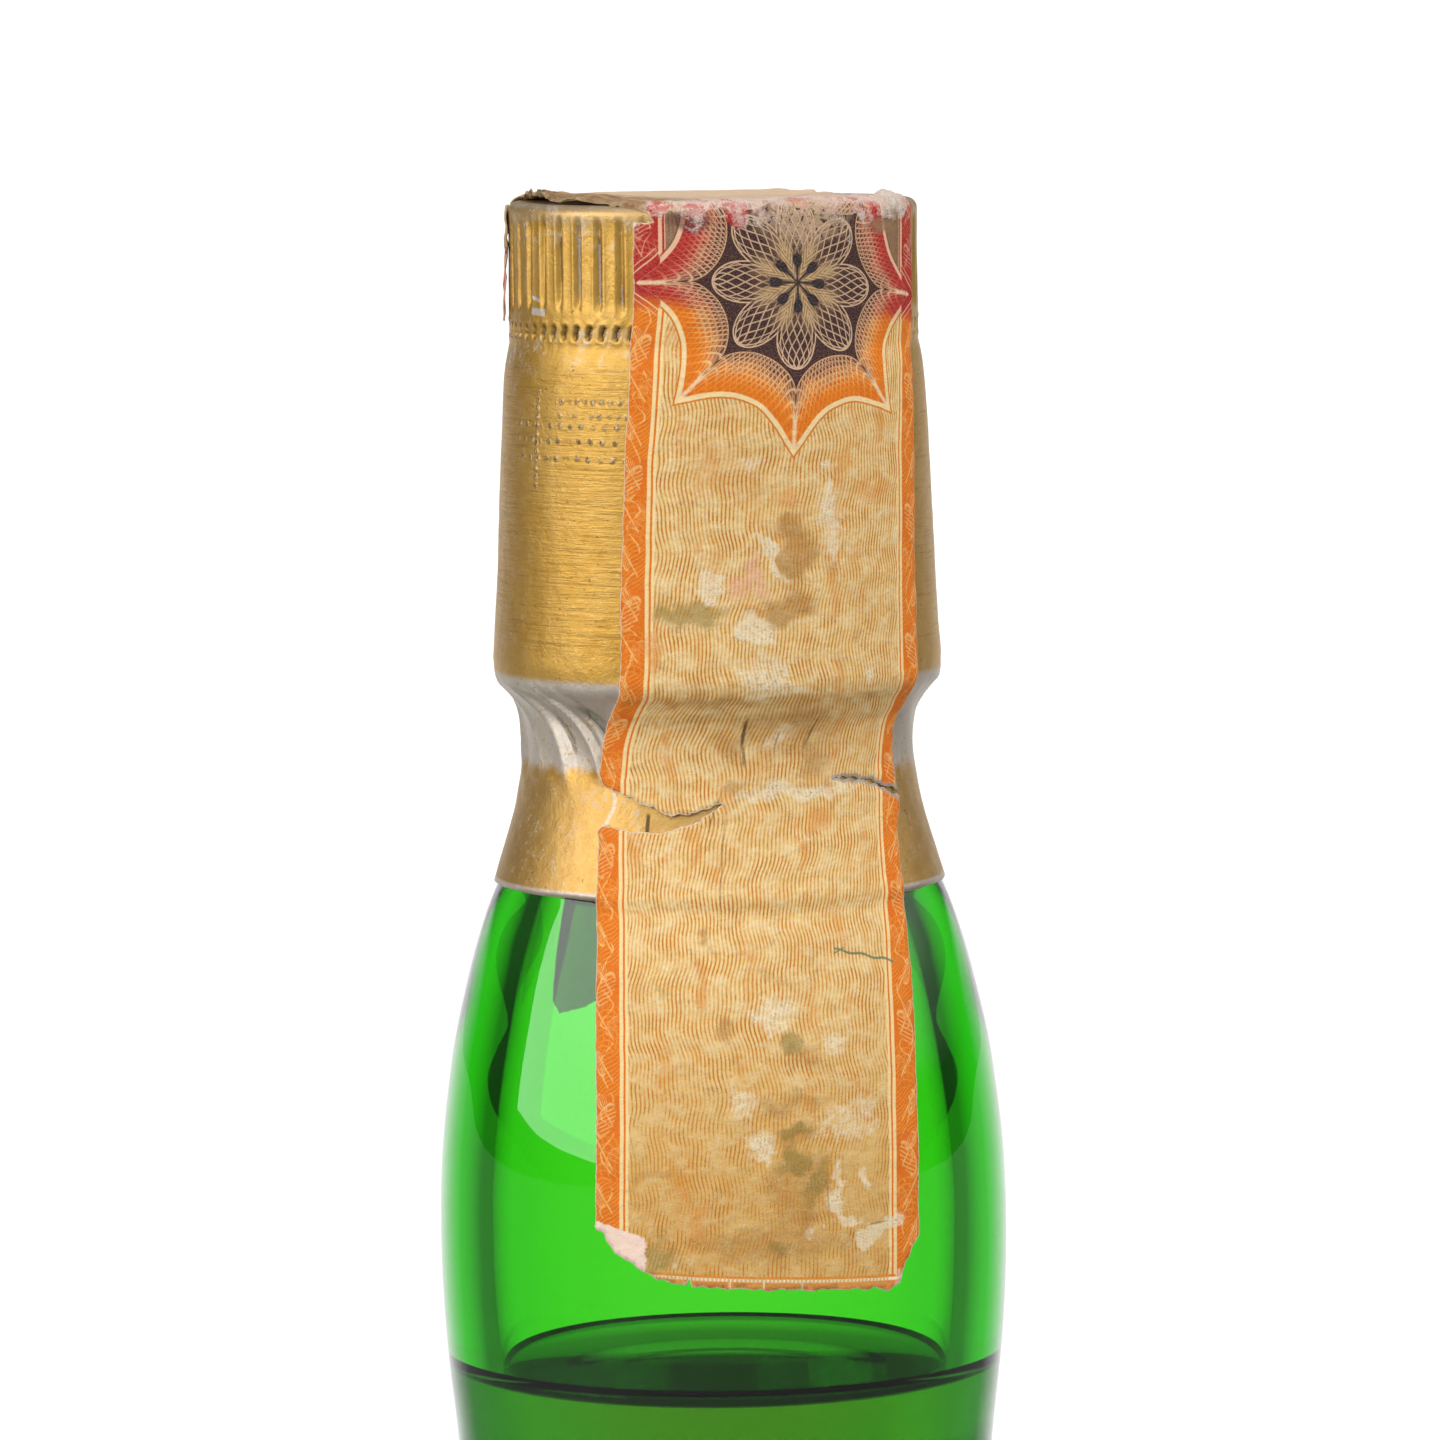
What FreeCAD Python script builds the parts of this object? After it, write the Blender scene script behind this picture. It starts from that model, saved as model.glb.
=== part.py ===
import FreeCAD, Part
import math
import os

# Round bulb-neck whisky bottle of green glass, part full, shut with a long-skirted
# roll-on aluminium closure and a paper tax strip that runs over the top of it.
#
# Millimetres, +Z up, origin on the bottle's axis in the plane it stands on.
# -Y is the front: the long leg of the paper strip lies on that side.
#
# Pieces, one solid each:
#   bottle     green glass, one wall from the punt to the mouth
#   whisky     the liquid, up to its level in the lower part of the neck bulb
#   closure    gold aluminium closure in one piece: knurled cap, ring of slanted
#              bridges, long skirt, rolled bead, pleated waist, flared hem on the glass
#   tax_strip  one strip of paper glued up the front, over the top and down the back

V = FreeCAD.Vector

# ---------------------------------------------------------------- bottle
BODY_R = 40.5                      # outside radius of the straight body
HEEL_R = 7.0                       # rounding between the body and the foot ring
FOOT_R_OUT, FOOT_R_IN = 33.5, 29.5  # flat ring the bottle stands on
PUNT_H = 7.5                       # height of the hollow under the base
SHOULDER_Z = 148.0                 # where the straight body ends
SHOULDER_R = 27.0                  # radius of the shoulder's rounded part
WAIST_R, WAIST_Z = 19.5, 200.0     # narrowest place between shoulder and bulb
BULB_R, BULB_Z = 21.0, 223.8       # widest place of the neck bulb
BULB_ROUND_R = 104.0               # radius of the bulb's side below its widest place
MOUTH_Z = 297.6                    # rim of the glass under the closure
BORE_R, BORE_END_Z = 9.25, 264.0   # bore of the mouth, straight above BORE_END_Z
BODY_WALL = 3.2                    # wall of the straight body
FLOOR_Z = 12.0                     # inside of the base on the axis
FLOOR_EDGE_Z = 8.0                 # inside of the base at its edge
INNER_HEEL_R = 9.0                 # rounding inside the base
INNER_SHOULDER_R = 24.0
INNER_WAIST_R = 15.5               # the wall grows to about 4 in the neck
INNER_BULB_R, INNER_BULB_ROUND_R = 17.15, 90.0
FILL_Z = 212.4                     # level of the whisky
# upper side of the bulb above its widest place: (radius, height)
BULB_HIGH = [(20.96, 226.3), (20.80, 229.5), (20.42, 233.1), (19.83, 237.2), (19.02, 240.9), (18.04, 244.6), (17.11, 247.4)]
BULB_HIGH_IN = [(17.12, 226.0), (16.9, 229.6), (16.5, 233.3), (15.85, 237.5), (14.75, 242.8), (12.75, 249.2), (10.75, 255.0),
                (9.6, 259.6), (9.3, 262.2)]

# ---------------------------------------------------------------- closure
FOIL = 0.30                        # thickness of the aluminium
CAP_TOP_Z = 299.3                  # top of the closure
CAP_R = 15.0                       # over the ridges of the knurled cap
CAP_EDGE_R = 0.75                  # rounding of the cap's top edge
KNURLS, KNURL_TOOL_R, KNURL_DEPTH = 48, 0.55, 0.16   # rounded grooves round the cap
KNURL_LOW_Z = 291.4
SLITS = 78                         # cuts between the slanted bridges
SLIT_Z, SLIT_TALL, SLIT_WIDE, SLIT_LEAN = 290.1, 1.1, 0.28, 14.0
SKIRT_TOP_Z = 289.0
HEM_R, HEM_Z = 16.62, 249.3        # lower edge of the flared hem
BEAD_R, BEAD_Z = 16.50, 265.9      # the rolled bead
NECK_R, NECK_Z = 14.40, 260.3      # the waist under the bead
# outside of the closure between those places, downwards: (radius, height)
SKIRT = [(15.0, SKIRT_TOP_Z), (15.3, 287.4), (15.52, 285.2), (15.72, 281.3), (15.93, 276.8), (16.12, 272.2),
         (16.36, 268.0), (BEAD_R, BEAD_Z)]
UNDER_BEAD = [(BEAD_R, BEAD_Z), (16.32, 264.2), (15.70, 263.5), (15.05, 262.65), (14.58, 261.7), (NECK_R, NECK_Z)]
HEM = [(NECK_R, NECK_Z), (14.46, 258.0), (14.99, 255.0), (15.84, 252.0), (HEM_R, HEM_Z)]
PLEATS, PLEAT_DEEP, PLEAT_WIDE, PLEAT_LEAN = 26, 0.14, 0.5, 34.0   # slanted folds pressed into the waist
PLEAT_TALL = 3.6

# ---------------------------------------------------------------- tax strip
PAPER = 0.16                       # thickness of the paper with its glue
STRIP_HALF = 12.45                 # half the width of the strip
TOP_TURN = 25.5                    # the strip crosses the top this many degrees right of the front
FRONT_TURN, BACK_TURN = 14.0, 196.0
FRONT_END = 221.7                  # lower end of the front leg
# centre of a leg, degrees from the front to the right, and half its width, at a height
FRONT_LEG = [(300.5, 25.5, 14.6), (296.5, 25.4, 13.6), (292.3, 25.3, 12.95), (281.4, 20.8, 12.6), (272.5, 19.2, 12.6),
             (264.1, 18.1, 12.7), (260.3, 14.2, 12.2), (252.5, 11.2, 12.1), (242.0, 9.5, 12.4), (227.7, 8.2, 12.45)]
FRONT_CORNERS = [(-13.9, 226.2), (-9.4, 222.5), (7.3, FRONT_END), (9.9, 224.7)]   # torn lower end: across, height
LEFT_TEAR = [(-14.6, 257.4), (-10.0, 256.7), (-7.6, 255.7), (-5.6, 255.35), (-3.7, 256.2), (-5.0, 254.9), (-7.6, 254.1),
             (-10.0, 254.2), (-14.6, 254.6)]
RIGHT_TEAR = [(14.6, 256.4), (9.5, 256.7), (6.6, 257.6), (9.5, 256.1), (14.6, 255.7)]
BACK_LEG = [(300.5, 205.5, 14.6), (296.5, 205.4, 13.6), (289.0, 205.0, 12.9), (268.0, 200.0, 12.7), (255.0, 195.0, 12.4),
            (244.0, 191.5, 12.4)]
BACK_CORNERS = [(-13.2, 240.4), (6.0, 239.2), (10.6, 237.4)]


def vec(rz):
    return V(rz[0], 0.0, rz[1])


def line(a, b):
    return Part.makeLine(vec(a), vec(b))


def arc(a, m, b):
    return Part.Arc(vec(a), vec(m), vec(b)).toShape()


def spline(stations, dr=0.0, dz=0.0):
    curve = Part.BSplineCurve()
    curve.interpolate([V(r + dr, 0.0, z + dz) for r, z in stations])
    return curve.toShape()


def corner(a, centre, b, r):
    """Quarter arc from a to b about a centre."""
    m = ((a[0] + b[0]) / 2 - centre[0], (a[1] + b[1]) / 2 - centre[1])
    k = r / math.hypot(m[0], m[1])
    return arc(a, (centre[0] + m[0] * k, centre[1] + m[1] * k), b)


def swing(wide, narrow, wide_round):
    """Two arcs that join a widest place and a narrowest place of a bottle's side smoothly:
    rounded outwards with the given radius at the wide one, hollow at the narrow one."""
    (rw, zw), (rn, zn) = wide, narrow
    d, drop = zn - zw, rw - rn
    hollow = (d * d + drop * drop) / (2 * drop) - wide_round
    lean = math.asin(abs(d) / (wide_round + hollow))
    way = 1 if d > 0 else -1

    def on_wide(t):
        return (rw - wide_round * (1 - math.cos(t)), zw + way * wide_round * math.sin(t))

    def on_narrow(t):
        return (rn + hollow * (1 - math.cos(t)), zn - way * hollow * math.sin(t))
    return [arc(wide, on_wide(lean / 2), on_wide(lean)), arc(on_wide(lean), on_narrow(lean / 2), narrow)]


def turned(edges):
    """Solid of revolution about Z from a closed outline of edges."""
    wire = Part.Wire(Part.__sortEdges__(edges))
    return Part.Face(wire).revolve(V(0, 0, 0), V(0, 0, 1), 360)


def side_edges(offset):
    """Outside of the closure from under the cap to the hem, moved out by offset: three edges."""
    return [spline(SKIRT, offset), spline(UNDER_BEAD, offset), spline(HEM, offset)]


def bulb_edges(offset):
    """Outside of the bulb from its waist to where the closure's hem lies on it."""
    waist, bulb = (WAIST_R + offset, WAIST_Z), (BULB_R + offset, BULB_Z)
    top = [(BULB_R, BULB_Z)] + BULB_HIGH + [(HEM_R - FOIL, HEM_Z)]
    return swing(bulb, waist, BULB_ROUND_R) + [spline(top, offset)]


def cavity_edges():
    """Inside of the bottle, from the axis at the floor to the end of the bore."""
    r = BODY_R - BODY_WALL
    e = r - INNER_HEEL_R
    return ([arc((0, FLOOR_Z), (e * 0.55, FLOOR_Z - (FLOOR_Z - FLOOR_EDGE_Z) * 0.32), (e, FLOOR_EDGE_Z)),
             corner((e, FLOOR_EDGE_Z), (e, FLOOR_EDGE_Z + INNER_HEEL_R), (r, FLOOR_EDGE_Z + INNER_HEEL_R), INNER_HEEL_R),
             line((r, FLOOR_EDGE_Z + INNER_HEEL_R), (r, SHOULDER_Z))]
            + swing((r, SHOULDER_Z), (INNER_WAIST_R, WAIST_Z), INNER_SHOULDER_R)
            + swing((INNER_BULB_R, BULB_Z), (INNER_WAIST_R, WAIST_Z), INNER_BULB_ROUND_R)
            + [spline([(INNER_BULB_R, BULB_Z)] + BULB_HIGH_IN + [(BORE_R, BORE_END_Z)]),
               line((BORE_R, BORE_END_Z), (BORE_R, MOUTH_Z))])


def make_bottle():
    rim_r = CAP_R - FOIL
    edges = [arc((0, PUNT_H), (FOOT_R_IN * 0.55, PUNT_H * 0.70), (FOOT_R_IN, 0)),
             line((FOOT_R_IN, 0), (FOOT_R_OUT, 0)),
             corner((FOOT_R_OUT, 0), (FOOT_R_OUT, HEEL_R), (BODY_R, HEEL_R), HEEL_R),
             line((BODY_R, HEEL_R), (BODY_R, SHOULDER_Z))]
    edges += swing((BODY_R, SHOULDER_Z), (WAIST_R, WAIST_Z), SHOULDER_R)
    edges += bulb_edges(0.0)
    edges += side_edges(-FOIL)
    edges += [line((rim_r, SKIRT_TOP_Z), (rim_r, MOUTH_Z)), line((rim_r, MOUTH_Z), (BORE_R, MOUTH_Z))]
    edges += cavity_edges() + [line((0, FLOOR_Z), (0, PUNT_H))]
    return turned(edges)


def make_cavity():
    return turned(cavity_edges() + [line((BORE_R, MOUTH_Z), (0, MOUTH_Z)), line((0, MOUTH_Z), (0, FLOOR_Z))])


def make_whisky():
    return make_cavity().common(Part.makeCylinder(BODY_R, FILL_Z))


def ring(r_in, r_out, low, high):
    return Part.makeCylinder(r_out, high - low, V(0, 0, low)).cut(Part.makeCylinder(r_in, high - low, V(0, 0, low)))


def knurled_ring():
    """Ring with a rounded groove pressed in at equal steps."""
    centre_r = CAP_R - KNURL_DEPTH + KNURL_TOOL_R
    # where the groove's circle meets the cap's circle
    along = (CAP_R ** 2 - KNURL_TOOL_R ** 2 + centre_r ** 2) / (2 * centre_r)
    half = math.acos(along / CAP_R)
    edges = []
    for i in range(KNURLS):
        a, b = 2 * math.pi * i / KNURLS, 2 * math.pi * (i + 1) / KNURLS

        def at(r, t):
            return V(r * math.cos(t), r * math.sin(t), KNURL_LOW_Z)
        edges.append(Part.Arc(at(CAP_R, a - half), at(CAP_R - KNURL_DEPTH, a), at(CAP_R, a + half)).toShape())
        edges.append(Part.Arc(at(CAP_R, a + half), at(CAP_R, (a + b) / 2), at(CAP_R, b - half)).toShape())
    tall = MOUTH_Z - KNURL_LOW_Z
    solid = Part.Face(Part.Wire(edges)).extrude(V(0, 0, tall))
    return solid.cut(Part.makeCylinder(CAP_R - FOIL, tall, V(0, 0, KNURL_LOW_Z)))


def slit_ring():
    """Ring cut through at equal steps by slanted slits; the bridges stand between them."""
    body = ring(CAP_R - FOIL, CAP_R, SKIRT_TOP_Z, KNURL_LOW_Z)
    cuts = []
    for i in range(SLITS):
        cut = Part.makeBox(1.0, SLIT_WIDE, SLIT_TALL, V(CAP_R - 0.65, -SLIT_WIDE / 2, -SLIT_TALL / 2))
        cut.rotate(V(0, 0, 0), V(1, 0, 0), SLIT_LEAN)
        cut.translate(V(0, 0, SLIT_Z))
        cut.rotate(V(0, 0, 0), V(0, 0, 1), 360.0 * (i + 0.5) / SLITS)
        cuts.append(cut)
    return body.cut(Part.makeCompound(cuts))


def pleated_hem():
    """Skirt from under the bead to the hem, with slanted folds pressed into the waist."""
    edges = [spline(UNDER_BEAD), spline(HEM), spline(UNDER_BEAD, -FOIL), spline(HEM, -FOIL),
             line((BEAD_R, BEAD_Z), (BEAD_R - FOIL, BEAD_Z)), line((HEM_R, HEM_Z), (HEM_R - FOIL, HEM_Z))]
    body = turned(edges)
    cuts = []
    for i in range(PLEATS):
        w, d, t = PLEAT_WIDE / 2, PLEAT_DEEP, PLEAT_TALL / 2
        outline = [V(NECK_R - d, 0, -t), V(NECK_R + 0.9, w * 3, -t), V(NECK_R + 0.9, -w * 3, -t), V(NECK_R - d, 0, -t)]
        cut = Part.Face(Part.makePolygon(outline)).extrude(V(0, 0, 2 * t))
        cut.rotate(V(0, 0, 0), V(1, 0, 0), -PLEAT_LEAN)
        cut.translate(V(0, 0, NECK_Z - 0.9))
        cut.rotate(V(0, 0, 0), V(0, 0, 1), 360.0 * i / PLEATS)
        cuts.append(cut)
    return body.cut(Part.makeCompound(cuts))


def make_closure():
    e, z = CAP_EDGE_R, CAP_TOP_Z
    disc = turned([line((0, z), (CAP_R - e, z)), corner((CAP_R - e, z), (CAP_R - e, z - e), (CAP_R, z - e), e),
                   line((CAP_R, z - e), (CAP_R, MOUTH_Z)), line((CAP_R, MOUTH_Z), (0, MOUTH_Z)), line((0, MOUTH_Z), (0, z))])
    upper = turned([spline(SKIRT), spline(SKIRT, -FOIL), line((CAP_R, SKIRT_TOP_Z), (CAP_R - FOIL, SKIRT_TOP_Z)),
                    line((BEAD_R, BEAD_Z), (BEAD_R - FOIL, BEAD_Z))])
    return disc.fuse([knurled_ring(), slit_ring(), upper, pleated_hem()])


def side_radius(z):
    """Radius of the outside at a height, along straight pieces between the stations."""
    pts = [(WAIST_R, WAIST_Z), (20.3, 213.2), (BULB_R, BULB_Z)] + BULB_HIGH + list(reversed(HEM)) \
        + list(reversed(UNDER_BEAD)) + list(reversed(SKIRT)) + [(CAP_R, 310.0)]
    for (r0, z0), (r1, z1) in zip(pts, pts[1:]):
        if z0 <= z <= z1:
            return r0 + (r1 - r0) * (z - z0) / (z1 - z0 + 1e-9)
    return CAP_R


def prism(outline, turn, far=60.0):
    """Block that stands out from the axis to one side, with an outline given across and in height."""
    block = Part.Face(Part.makePolygon([V(x, 0, z) for x, z in outline + outline[:1]])).extrude(V(0, -far, 0))
    block.rotate(V(0, 0, 0), V(0, 0, 1), turn)
    return block


def leg_outline(leg, turn, corners):
    left, right = [], []
    for z, centre, half in leg:
        r = side_radius(z)
        for way, out in ((-1, left), (1, right)):
            a = math.radians(centre - turn) + way * half / r
            out.append((r * math.sin(max(-1.5, min(1.5, a))), z))
    return left + corners + list(reversed(right))


def make_strip():
    """A skin of paper on the outside of bulb and closure, cut to the outline of the strip."""
    e, z, t = CAP_EDGE_R, CAP_TOP_Z, PAPER
    low, step = BULB_Z - 8.0, 0.5
    top = [(BULB_R, BULB_Z)] + BULB_HIGH
    r_low = side_radius(low)
    swing_low = Part.Wire(Part.__sortEdges__(swing((BULB_R, BULB_Z), (WAIST_R, WAIST_Z), BULB_ROUND_R)))
    inner = [swing((BULB_R, BULB_Z), (WAIST_R, WAIST_Z), BULB_ROUND_R)[0]]
    outer = [swing((BULB_R + t, BULB_Z), (WAIST_R + t, WAIST_Z), BULB_ROUND_R)[0]]
    ends = []
    for edge in (inner[0], outer[0]):
        pts = [v.Point for v in edge.Vertexes]
        ends.append(min(pts, key=lambda q: q.z))
    inner += [spline(top + [(HEM_R - FOIL, HEM_Z)]), line((HEM_R - FOIL, HEM_Z), (HEM_R, HEM_Z))] + side_edges(0.0)
    outer += [spline(top, t), line((BULB_HIGH[-1][0] + t, BULB_HIGH[-1][1]), (HEM_R + t, HEM_Z - step)),
              line((HEM_R + t, HEM_Z - step), (HEM_R + t, HEM_Z))] + side_edges(t)
    inner += [line((CAP_R, SKIRT_TOP_Z), (CAP_R, z - e)), corner((CAP_R - e, z), (CAP_R - e, z - e), (CAP_R, z - e), e),
              line((CAP_R - e, z), (0, z))]
    outer += [line((CAP_R + t, SKIRT_TOP_Z), (CAP_R + t, z - e)),
              corner((CAP_R - e, z + t), (CAP_R - e, z - e), (CAP_R + t, z - e), e + t), line((CAP_R - e, z + t), (0, z + t))]
    close = [Part.makeLine(ends[0], ends[1]), line((0, z), (0, z + t))]
    skin = turned(inner + outer + close)
    front = prism(leg_outline(FRONT_LEG, FRONT_TURN, FRONT_CORNERS), FRONT_TURN)
    front = front.cut([prism(LEFT_TEAR, FRONT_TURN), prism(RIGHT_TEAR, FRONT_TURN)])
    back = prism(leg_outline(BACK_LEG, BACK_TURN, BACK_CORNERS), BACK_TURN)
    over = Part.makeBox(2 * STRIP_HALF, 80, 3.0, V(-STRIP_HALF, -40, z - e))
    over.rotate(V(0, 0, 0), V(0, 0, 1), TOP_TURN)
    legs = [skin.common(b) for b in (front, back, over)]
    return legs[0].fuse(legs[1:])


def main():
    os.makedirs("parts", exist_ok=True)
    for name, make in (("bottle", make_bottle), ("whisky", make_whisky), ("closure", make_closure), ("tax_strip", make_strip)):
        shape = make()
        solids = sorted(shape.Solids, key=lambda s: -s.Volume)
        b = shape.optimalBoundingBox()
        print(name, "solids", len(solids), "volume %.1f" % shape.Volume, "valid", shape.isValid(),
              "box x %.2f %.2f y %.2f %.2f z %.2f %.2f" % (b.XMin, b.XMax, b.YMin, b.YMax, b.ZMin, b.ZMax), "faces", len(shape.Faces))
        solids[0].exportStep("parts/%s.step" % name)
    print("capacity to the rim, ml: %.1f" % (make_cavity().Volume / 1000.0))


main()
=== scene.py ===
import bpy, math
import numpy as np
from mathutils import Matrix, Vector, noise
from mathutils.geometry import delaunay_2d_cdt


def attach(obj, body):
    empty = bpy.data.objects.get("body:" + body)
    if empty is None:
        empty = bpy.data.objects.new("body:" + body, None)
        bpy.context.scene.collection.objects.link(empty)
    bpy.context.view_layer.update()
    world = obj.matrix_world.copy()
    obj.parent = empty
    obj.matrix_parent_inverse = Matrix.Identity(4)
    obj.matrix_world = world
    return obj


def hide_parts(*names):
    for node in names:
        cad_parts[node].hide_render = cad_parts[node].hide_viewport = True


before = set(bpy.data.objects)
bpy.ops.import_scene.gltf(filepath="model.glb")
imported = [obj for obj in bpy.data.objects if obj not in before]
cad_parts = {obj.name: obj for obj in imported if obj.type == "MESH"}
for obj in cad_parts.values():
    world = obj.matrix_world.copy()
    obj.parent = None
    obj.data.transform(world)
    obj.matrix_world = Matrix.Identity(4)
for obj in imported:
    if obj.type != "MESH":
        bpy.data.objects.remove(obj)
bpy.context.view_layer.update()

MM = 0.001
RNG = np.random.default_rng(41)

# ------------------------------------------------------------------ sizes, as in the CAD, in mm
BODY_R, HEEL_R, FOOT_R_OUT, FOOT_R_IN, PUNT_H = 40.5, 7.0, 33.5, 29.5, 7.5
SHOULDER_Z, SHOULDER_R = 148.0, 27.0
WAIST_R, WAIST_Z, BULB_R, BULB_Z, BULB_ROUND_R = 19.5, 200.0, 21.0, 223.8, 104.0
MOUTH_Z, BORE_R, BORE_END_Z, BODY_WALL = 297.6, 9.25, 264.0, 3.2
FLOOR_Z, FLOOR_EDGE_Z, INNER_HEEL_R = 12.0, 8.0, 9.0
INNER_SHOULDER_R, INNER_WAIST_R, INNER_BULB_R, INNER_BULB_ROUND_R = 24.0, 15.5, 17.15, 90.0
FILL_Z = 212.4
BULB_HIGH = [(20.96, 226.3), (20.80, 229.5), (20.42, 233.1), (19.83, 237.2), (19.02, 240.9), (18.04, 244.6), (17.11, 247.4)]
BULB_HIGH_IN = [(17.12, 226.0), (16.9, 229.6), (16.5, 233.3), (15.85, 237.5), (14.75, 242.8), (12.75, 249.2), (10.75, 255.0),
                (9.6, 259.6), (9.3, 262.2)]
FOIL, CAP_TOP_Z, CAP_R, CAP_EDGE_R = 0.30, 299.3, 15.0, 0.75
KNURLS, KNURL_LOW_Z = 48, 291.4
SLITS, SLIT_Z, SKIRT_TOP_Z = 78, 290.1, 289.0
HEM_R, HEM_Z, BEAD_R, BEAD_Z, NECK_R, NECK_Z = 16.62, 249.3, 16.50, 265.9, 14.40, 260.3
SKIRT = [(15.0, SKIRT_TOP_Z), (15.3, 287.4), (15.52, 285.2), (15.72, 281.3), (15.93, 276.8), (16.12, 272.2), (16.36, 268.0),
         (BEAD_R, BEAD_Z)]
UNDER_BEAD = [(16.32, 264.2), (15.70, 263.5), (15.05, 262.65), (14.58, 261.7), (NECK_R, NECK_Z)]
HEM = [(14.46, 258.0), (14.99, 255.0), (15.84, 252.0), (HEM_R, HEM_Z)]
PAPER = 0.16
TOP_TURN = 25.5


# ------------------------------------------------------------------ outlines
def smooth(pts, step=0.5):
    """Centripetal Catmull-Rom curve through the stations, about step mm apart."""
    p = np.array(pts, float)
    p = np.vstack([2 * p[0] - p[1], p, 2 * p[-1] - p[-2]])
    out = []
    for i in range(1, len(p) - 2):
        p0, p1, p2, p3 = p[i - 1], p[i], p[i + 1], p[i + 2]
        t0 = 0.0
        t1 = t0 + max(1e-6, np.linalg.norm(p1 - p0)) ** 0.5
        t2 = t1 + max(1e-6, np.linalg.norm(p2 - p1)) ** 0.5
        t3 = t2 + max(1e-6, np.linalg.norm(p3 - p2)) ** 0.5
        n = max(2, int(math.ceil(np.linalg.norm(p2 - p1) / step)))
        for t in np.linspace(t1, t2, n, endpoint=False):
            a1 = (t1 - t) / (t1 - t0) * p0 + (t - t0) / (t1 - t0) * p1
            a2 = (t2 - t) / (t2 - t1) * p1 + (t - t1) / (t2 - t1) * p2
            a3 = (t3 - t) / (t3 - t2) * p2 + (t - t2) / (t3 - t2) * p3
            b1 = (t2 - t) / (t2 - t0) * a1 + (t - t0) / (t2 - t0) * a2
            b2 = (t3 - t) / (t3 - t1) * a2 + (t - t1) / (t3 - t1) * a3
            out.append((t2 - t) / (t2 - t1) * b1 + (t - t1) / (t2 - t1) * b2)
    out.append(p[-2])
    return [tuple(q) for q in out]


def swing(wide, narrow, wide_round, step=1.0):
    """Rounded outwards at the wide place, hollow at the narrow one, two tangent arcs; from wide to narrow."""
    (rw, zw), (rn, zn) = wide, narrow
    d, drop = zn - zw, rw - rn
    hollow = (d * d + drop * drop) / (2 * drop) - wide_round
    lean = math.asin(abs(d) / (wide_round + hollow))
    way = 1 if d > 0 else -1
    n1 = max(3, int(wide_round * lean / step))
    n2 = max(3, int(hollow * lean / step))
    a = [(rw - wide_round * (1 - math.cos(t)), zw + way * wide_round * math.sin(t)) for t in np.linspace(0, lean, n1)]
    b = [(rn + hollow * (1 - math.cos(t)), zn - way * hollow * math.sin(t)) for t in np.linspace(lean, 0, n2)]
    return a + b[1:]


def arc_pts(cx, cz, r, a0, a1, n):
    return [(cx + r * math.cos(math.radians(a)), cz + r * math.sin(math.radians(a))) for a in np.linspace(a0, a1, n)]


def side_down(offset=0.0, step=0.35):
    """Closure's side from under the cap to the hem, as one smooth outline."""
    pts = smooth(SKIRT, step)[:-1] + smooth([(BEAD_R, BEAD_Z)] + UNDER_BEAD + HEM, step)
    return [(r + offset, z) for r, z in pts]


def bulb_up(offset=0.0):
    low = swing((BULB_R + offset, BULB_Z), (WAIST_R + offset, WAIST_Z), BULB_ROUND_R, 1.2)[::-1]
    top = smooth([(BULB_R, BULB_Z)] + BULB_HIGH + [(HEM_R - FOIL, HEM_Z)], 0.8)
    return low + [(r + offset, z) for r, z in top[1:]]


OUT = side_down()
_so = np.array(sorted([(z, r) for r, z in OUT] + [(310.0, CAP_R)]))
_bu = np.array([(z, r) for r, z in bulb_up()])


def skirt_r(z):
    return np.interp(z, _so[:, 0], _so[:, 1])


def glass_r(z):
    return np.interp(z, _bu[:, 0], _bu[:, 1])


# ------------------------------------------------------------------ mesh helpers
def obj_from(name, verts, faces, smooth_shade=True, collection=None):
    me = bpy.data.meshes.new(name)
    me.from_pydata([tuple(v) for v in verts], [], [tuple(f) for f in faces])
    me.update()
    if smooth_shade:
        me.polygons.foreach_set("use_smooth", [True] * len(me.polygons))
    o = bpy.data.objects.new(name, me)
    bpy.context.scene.collection.objects.link(o)
    return o


def float_attr(o, name, values):
    a = o.data.attributes.new(name, "FLOAT", "POINT")
    a.data.foreach_set("value", np.asarray(values, np.float32))


def vec_attr(o, name, values):
    a = o.data.attributes.new(name, "FLOAT_VECTOR", "POINT")
    a.data.foreach_set("vector", np.asarray(values, np.float32).ravel())


def revolve(name, outline, segs, closed=False, wobble=None):
    """Mesh of revolution. An outline point with radius 0 becomes one pole vertex. closed joins last to first."""
    verts, rows = [], []
    ang = np.arange(segs) * 2 * math.pi / segs
    ca, sa = np.cos(ang), np.sin(ang)
    for r, z in outline:
        if r < 1e-6:
            rows.append([len(verts)])
            verts.append((0, 0, z * MM))
        else:
            rows.append(list(range(len(verts), len(verts) + segs)))
            rr = np.full(segs, r)
            zz = np.full(segs, z)
            if wobble:
                rr, zz = wobble(rr, zz, ang)
            verts.extend(zip(rr * ca * MM, rr * sa * MM, zz * MM))
    faces = []
    pairs = list(zip(rows, rows[1:])) + ([(rows[-1], rows[0])] if closed else [])
    for a, b in pairs:
        for i in range(segs):
            j = (i + 1) % segs
            if len(a) == 1 and len(b) == 1:
                continue
            if len(a) == 1:
                faces.append((a[0], b[j], b[i]))
            elif len(b) == 1:
                faces.append((a[i], a[j], b[0]))
            else:
                faces.append((a[i], a[j], b[j], b[i]))
    return obj_from(name, verts, faces)


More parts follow.
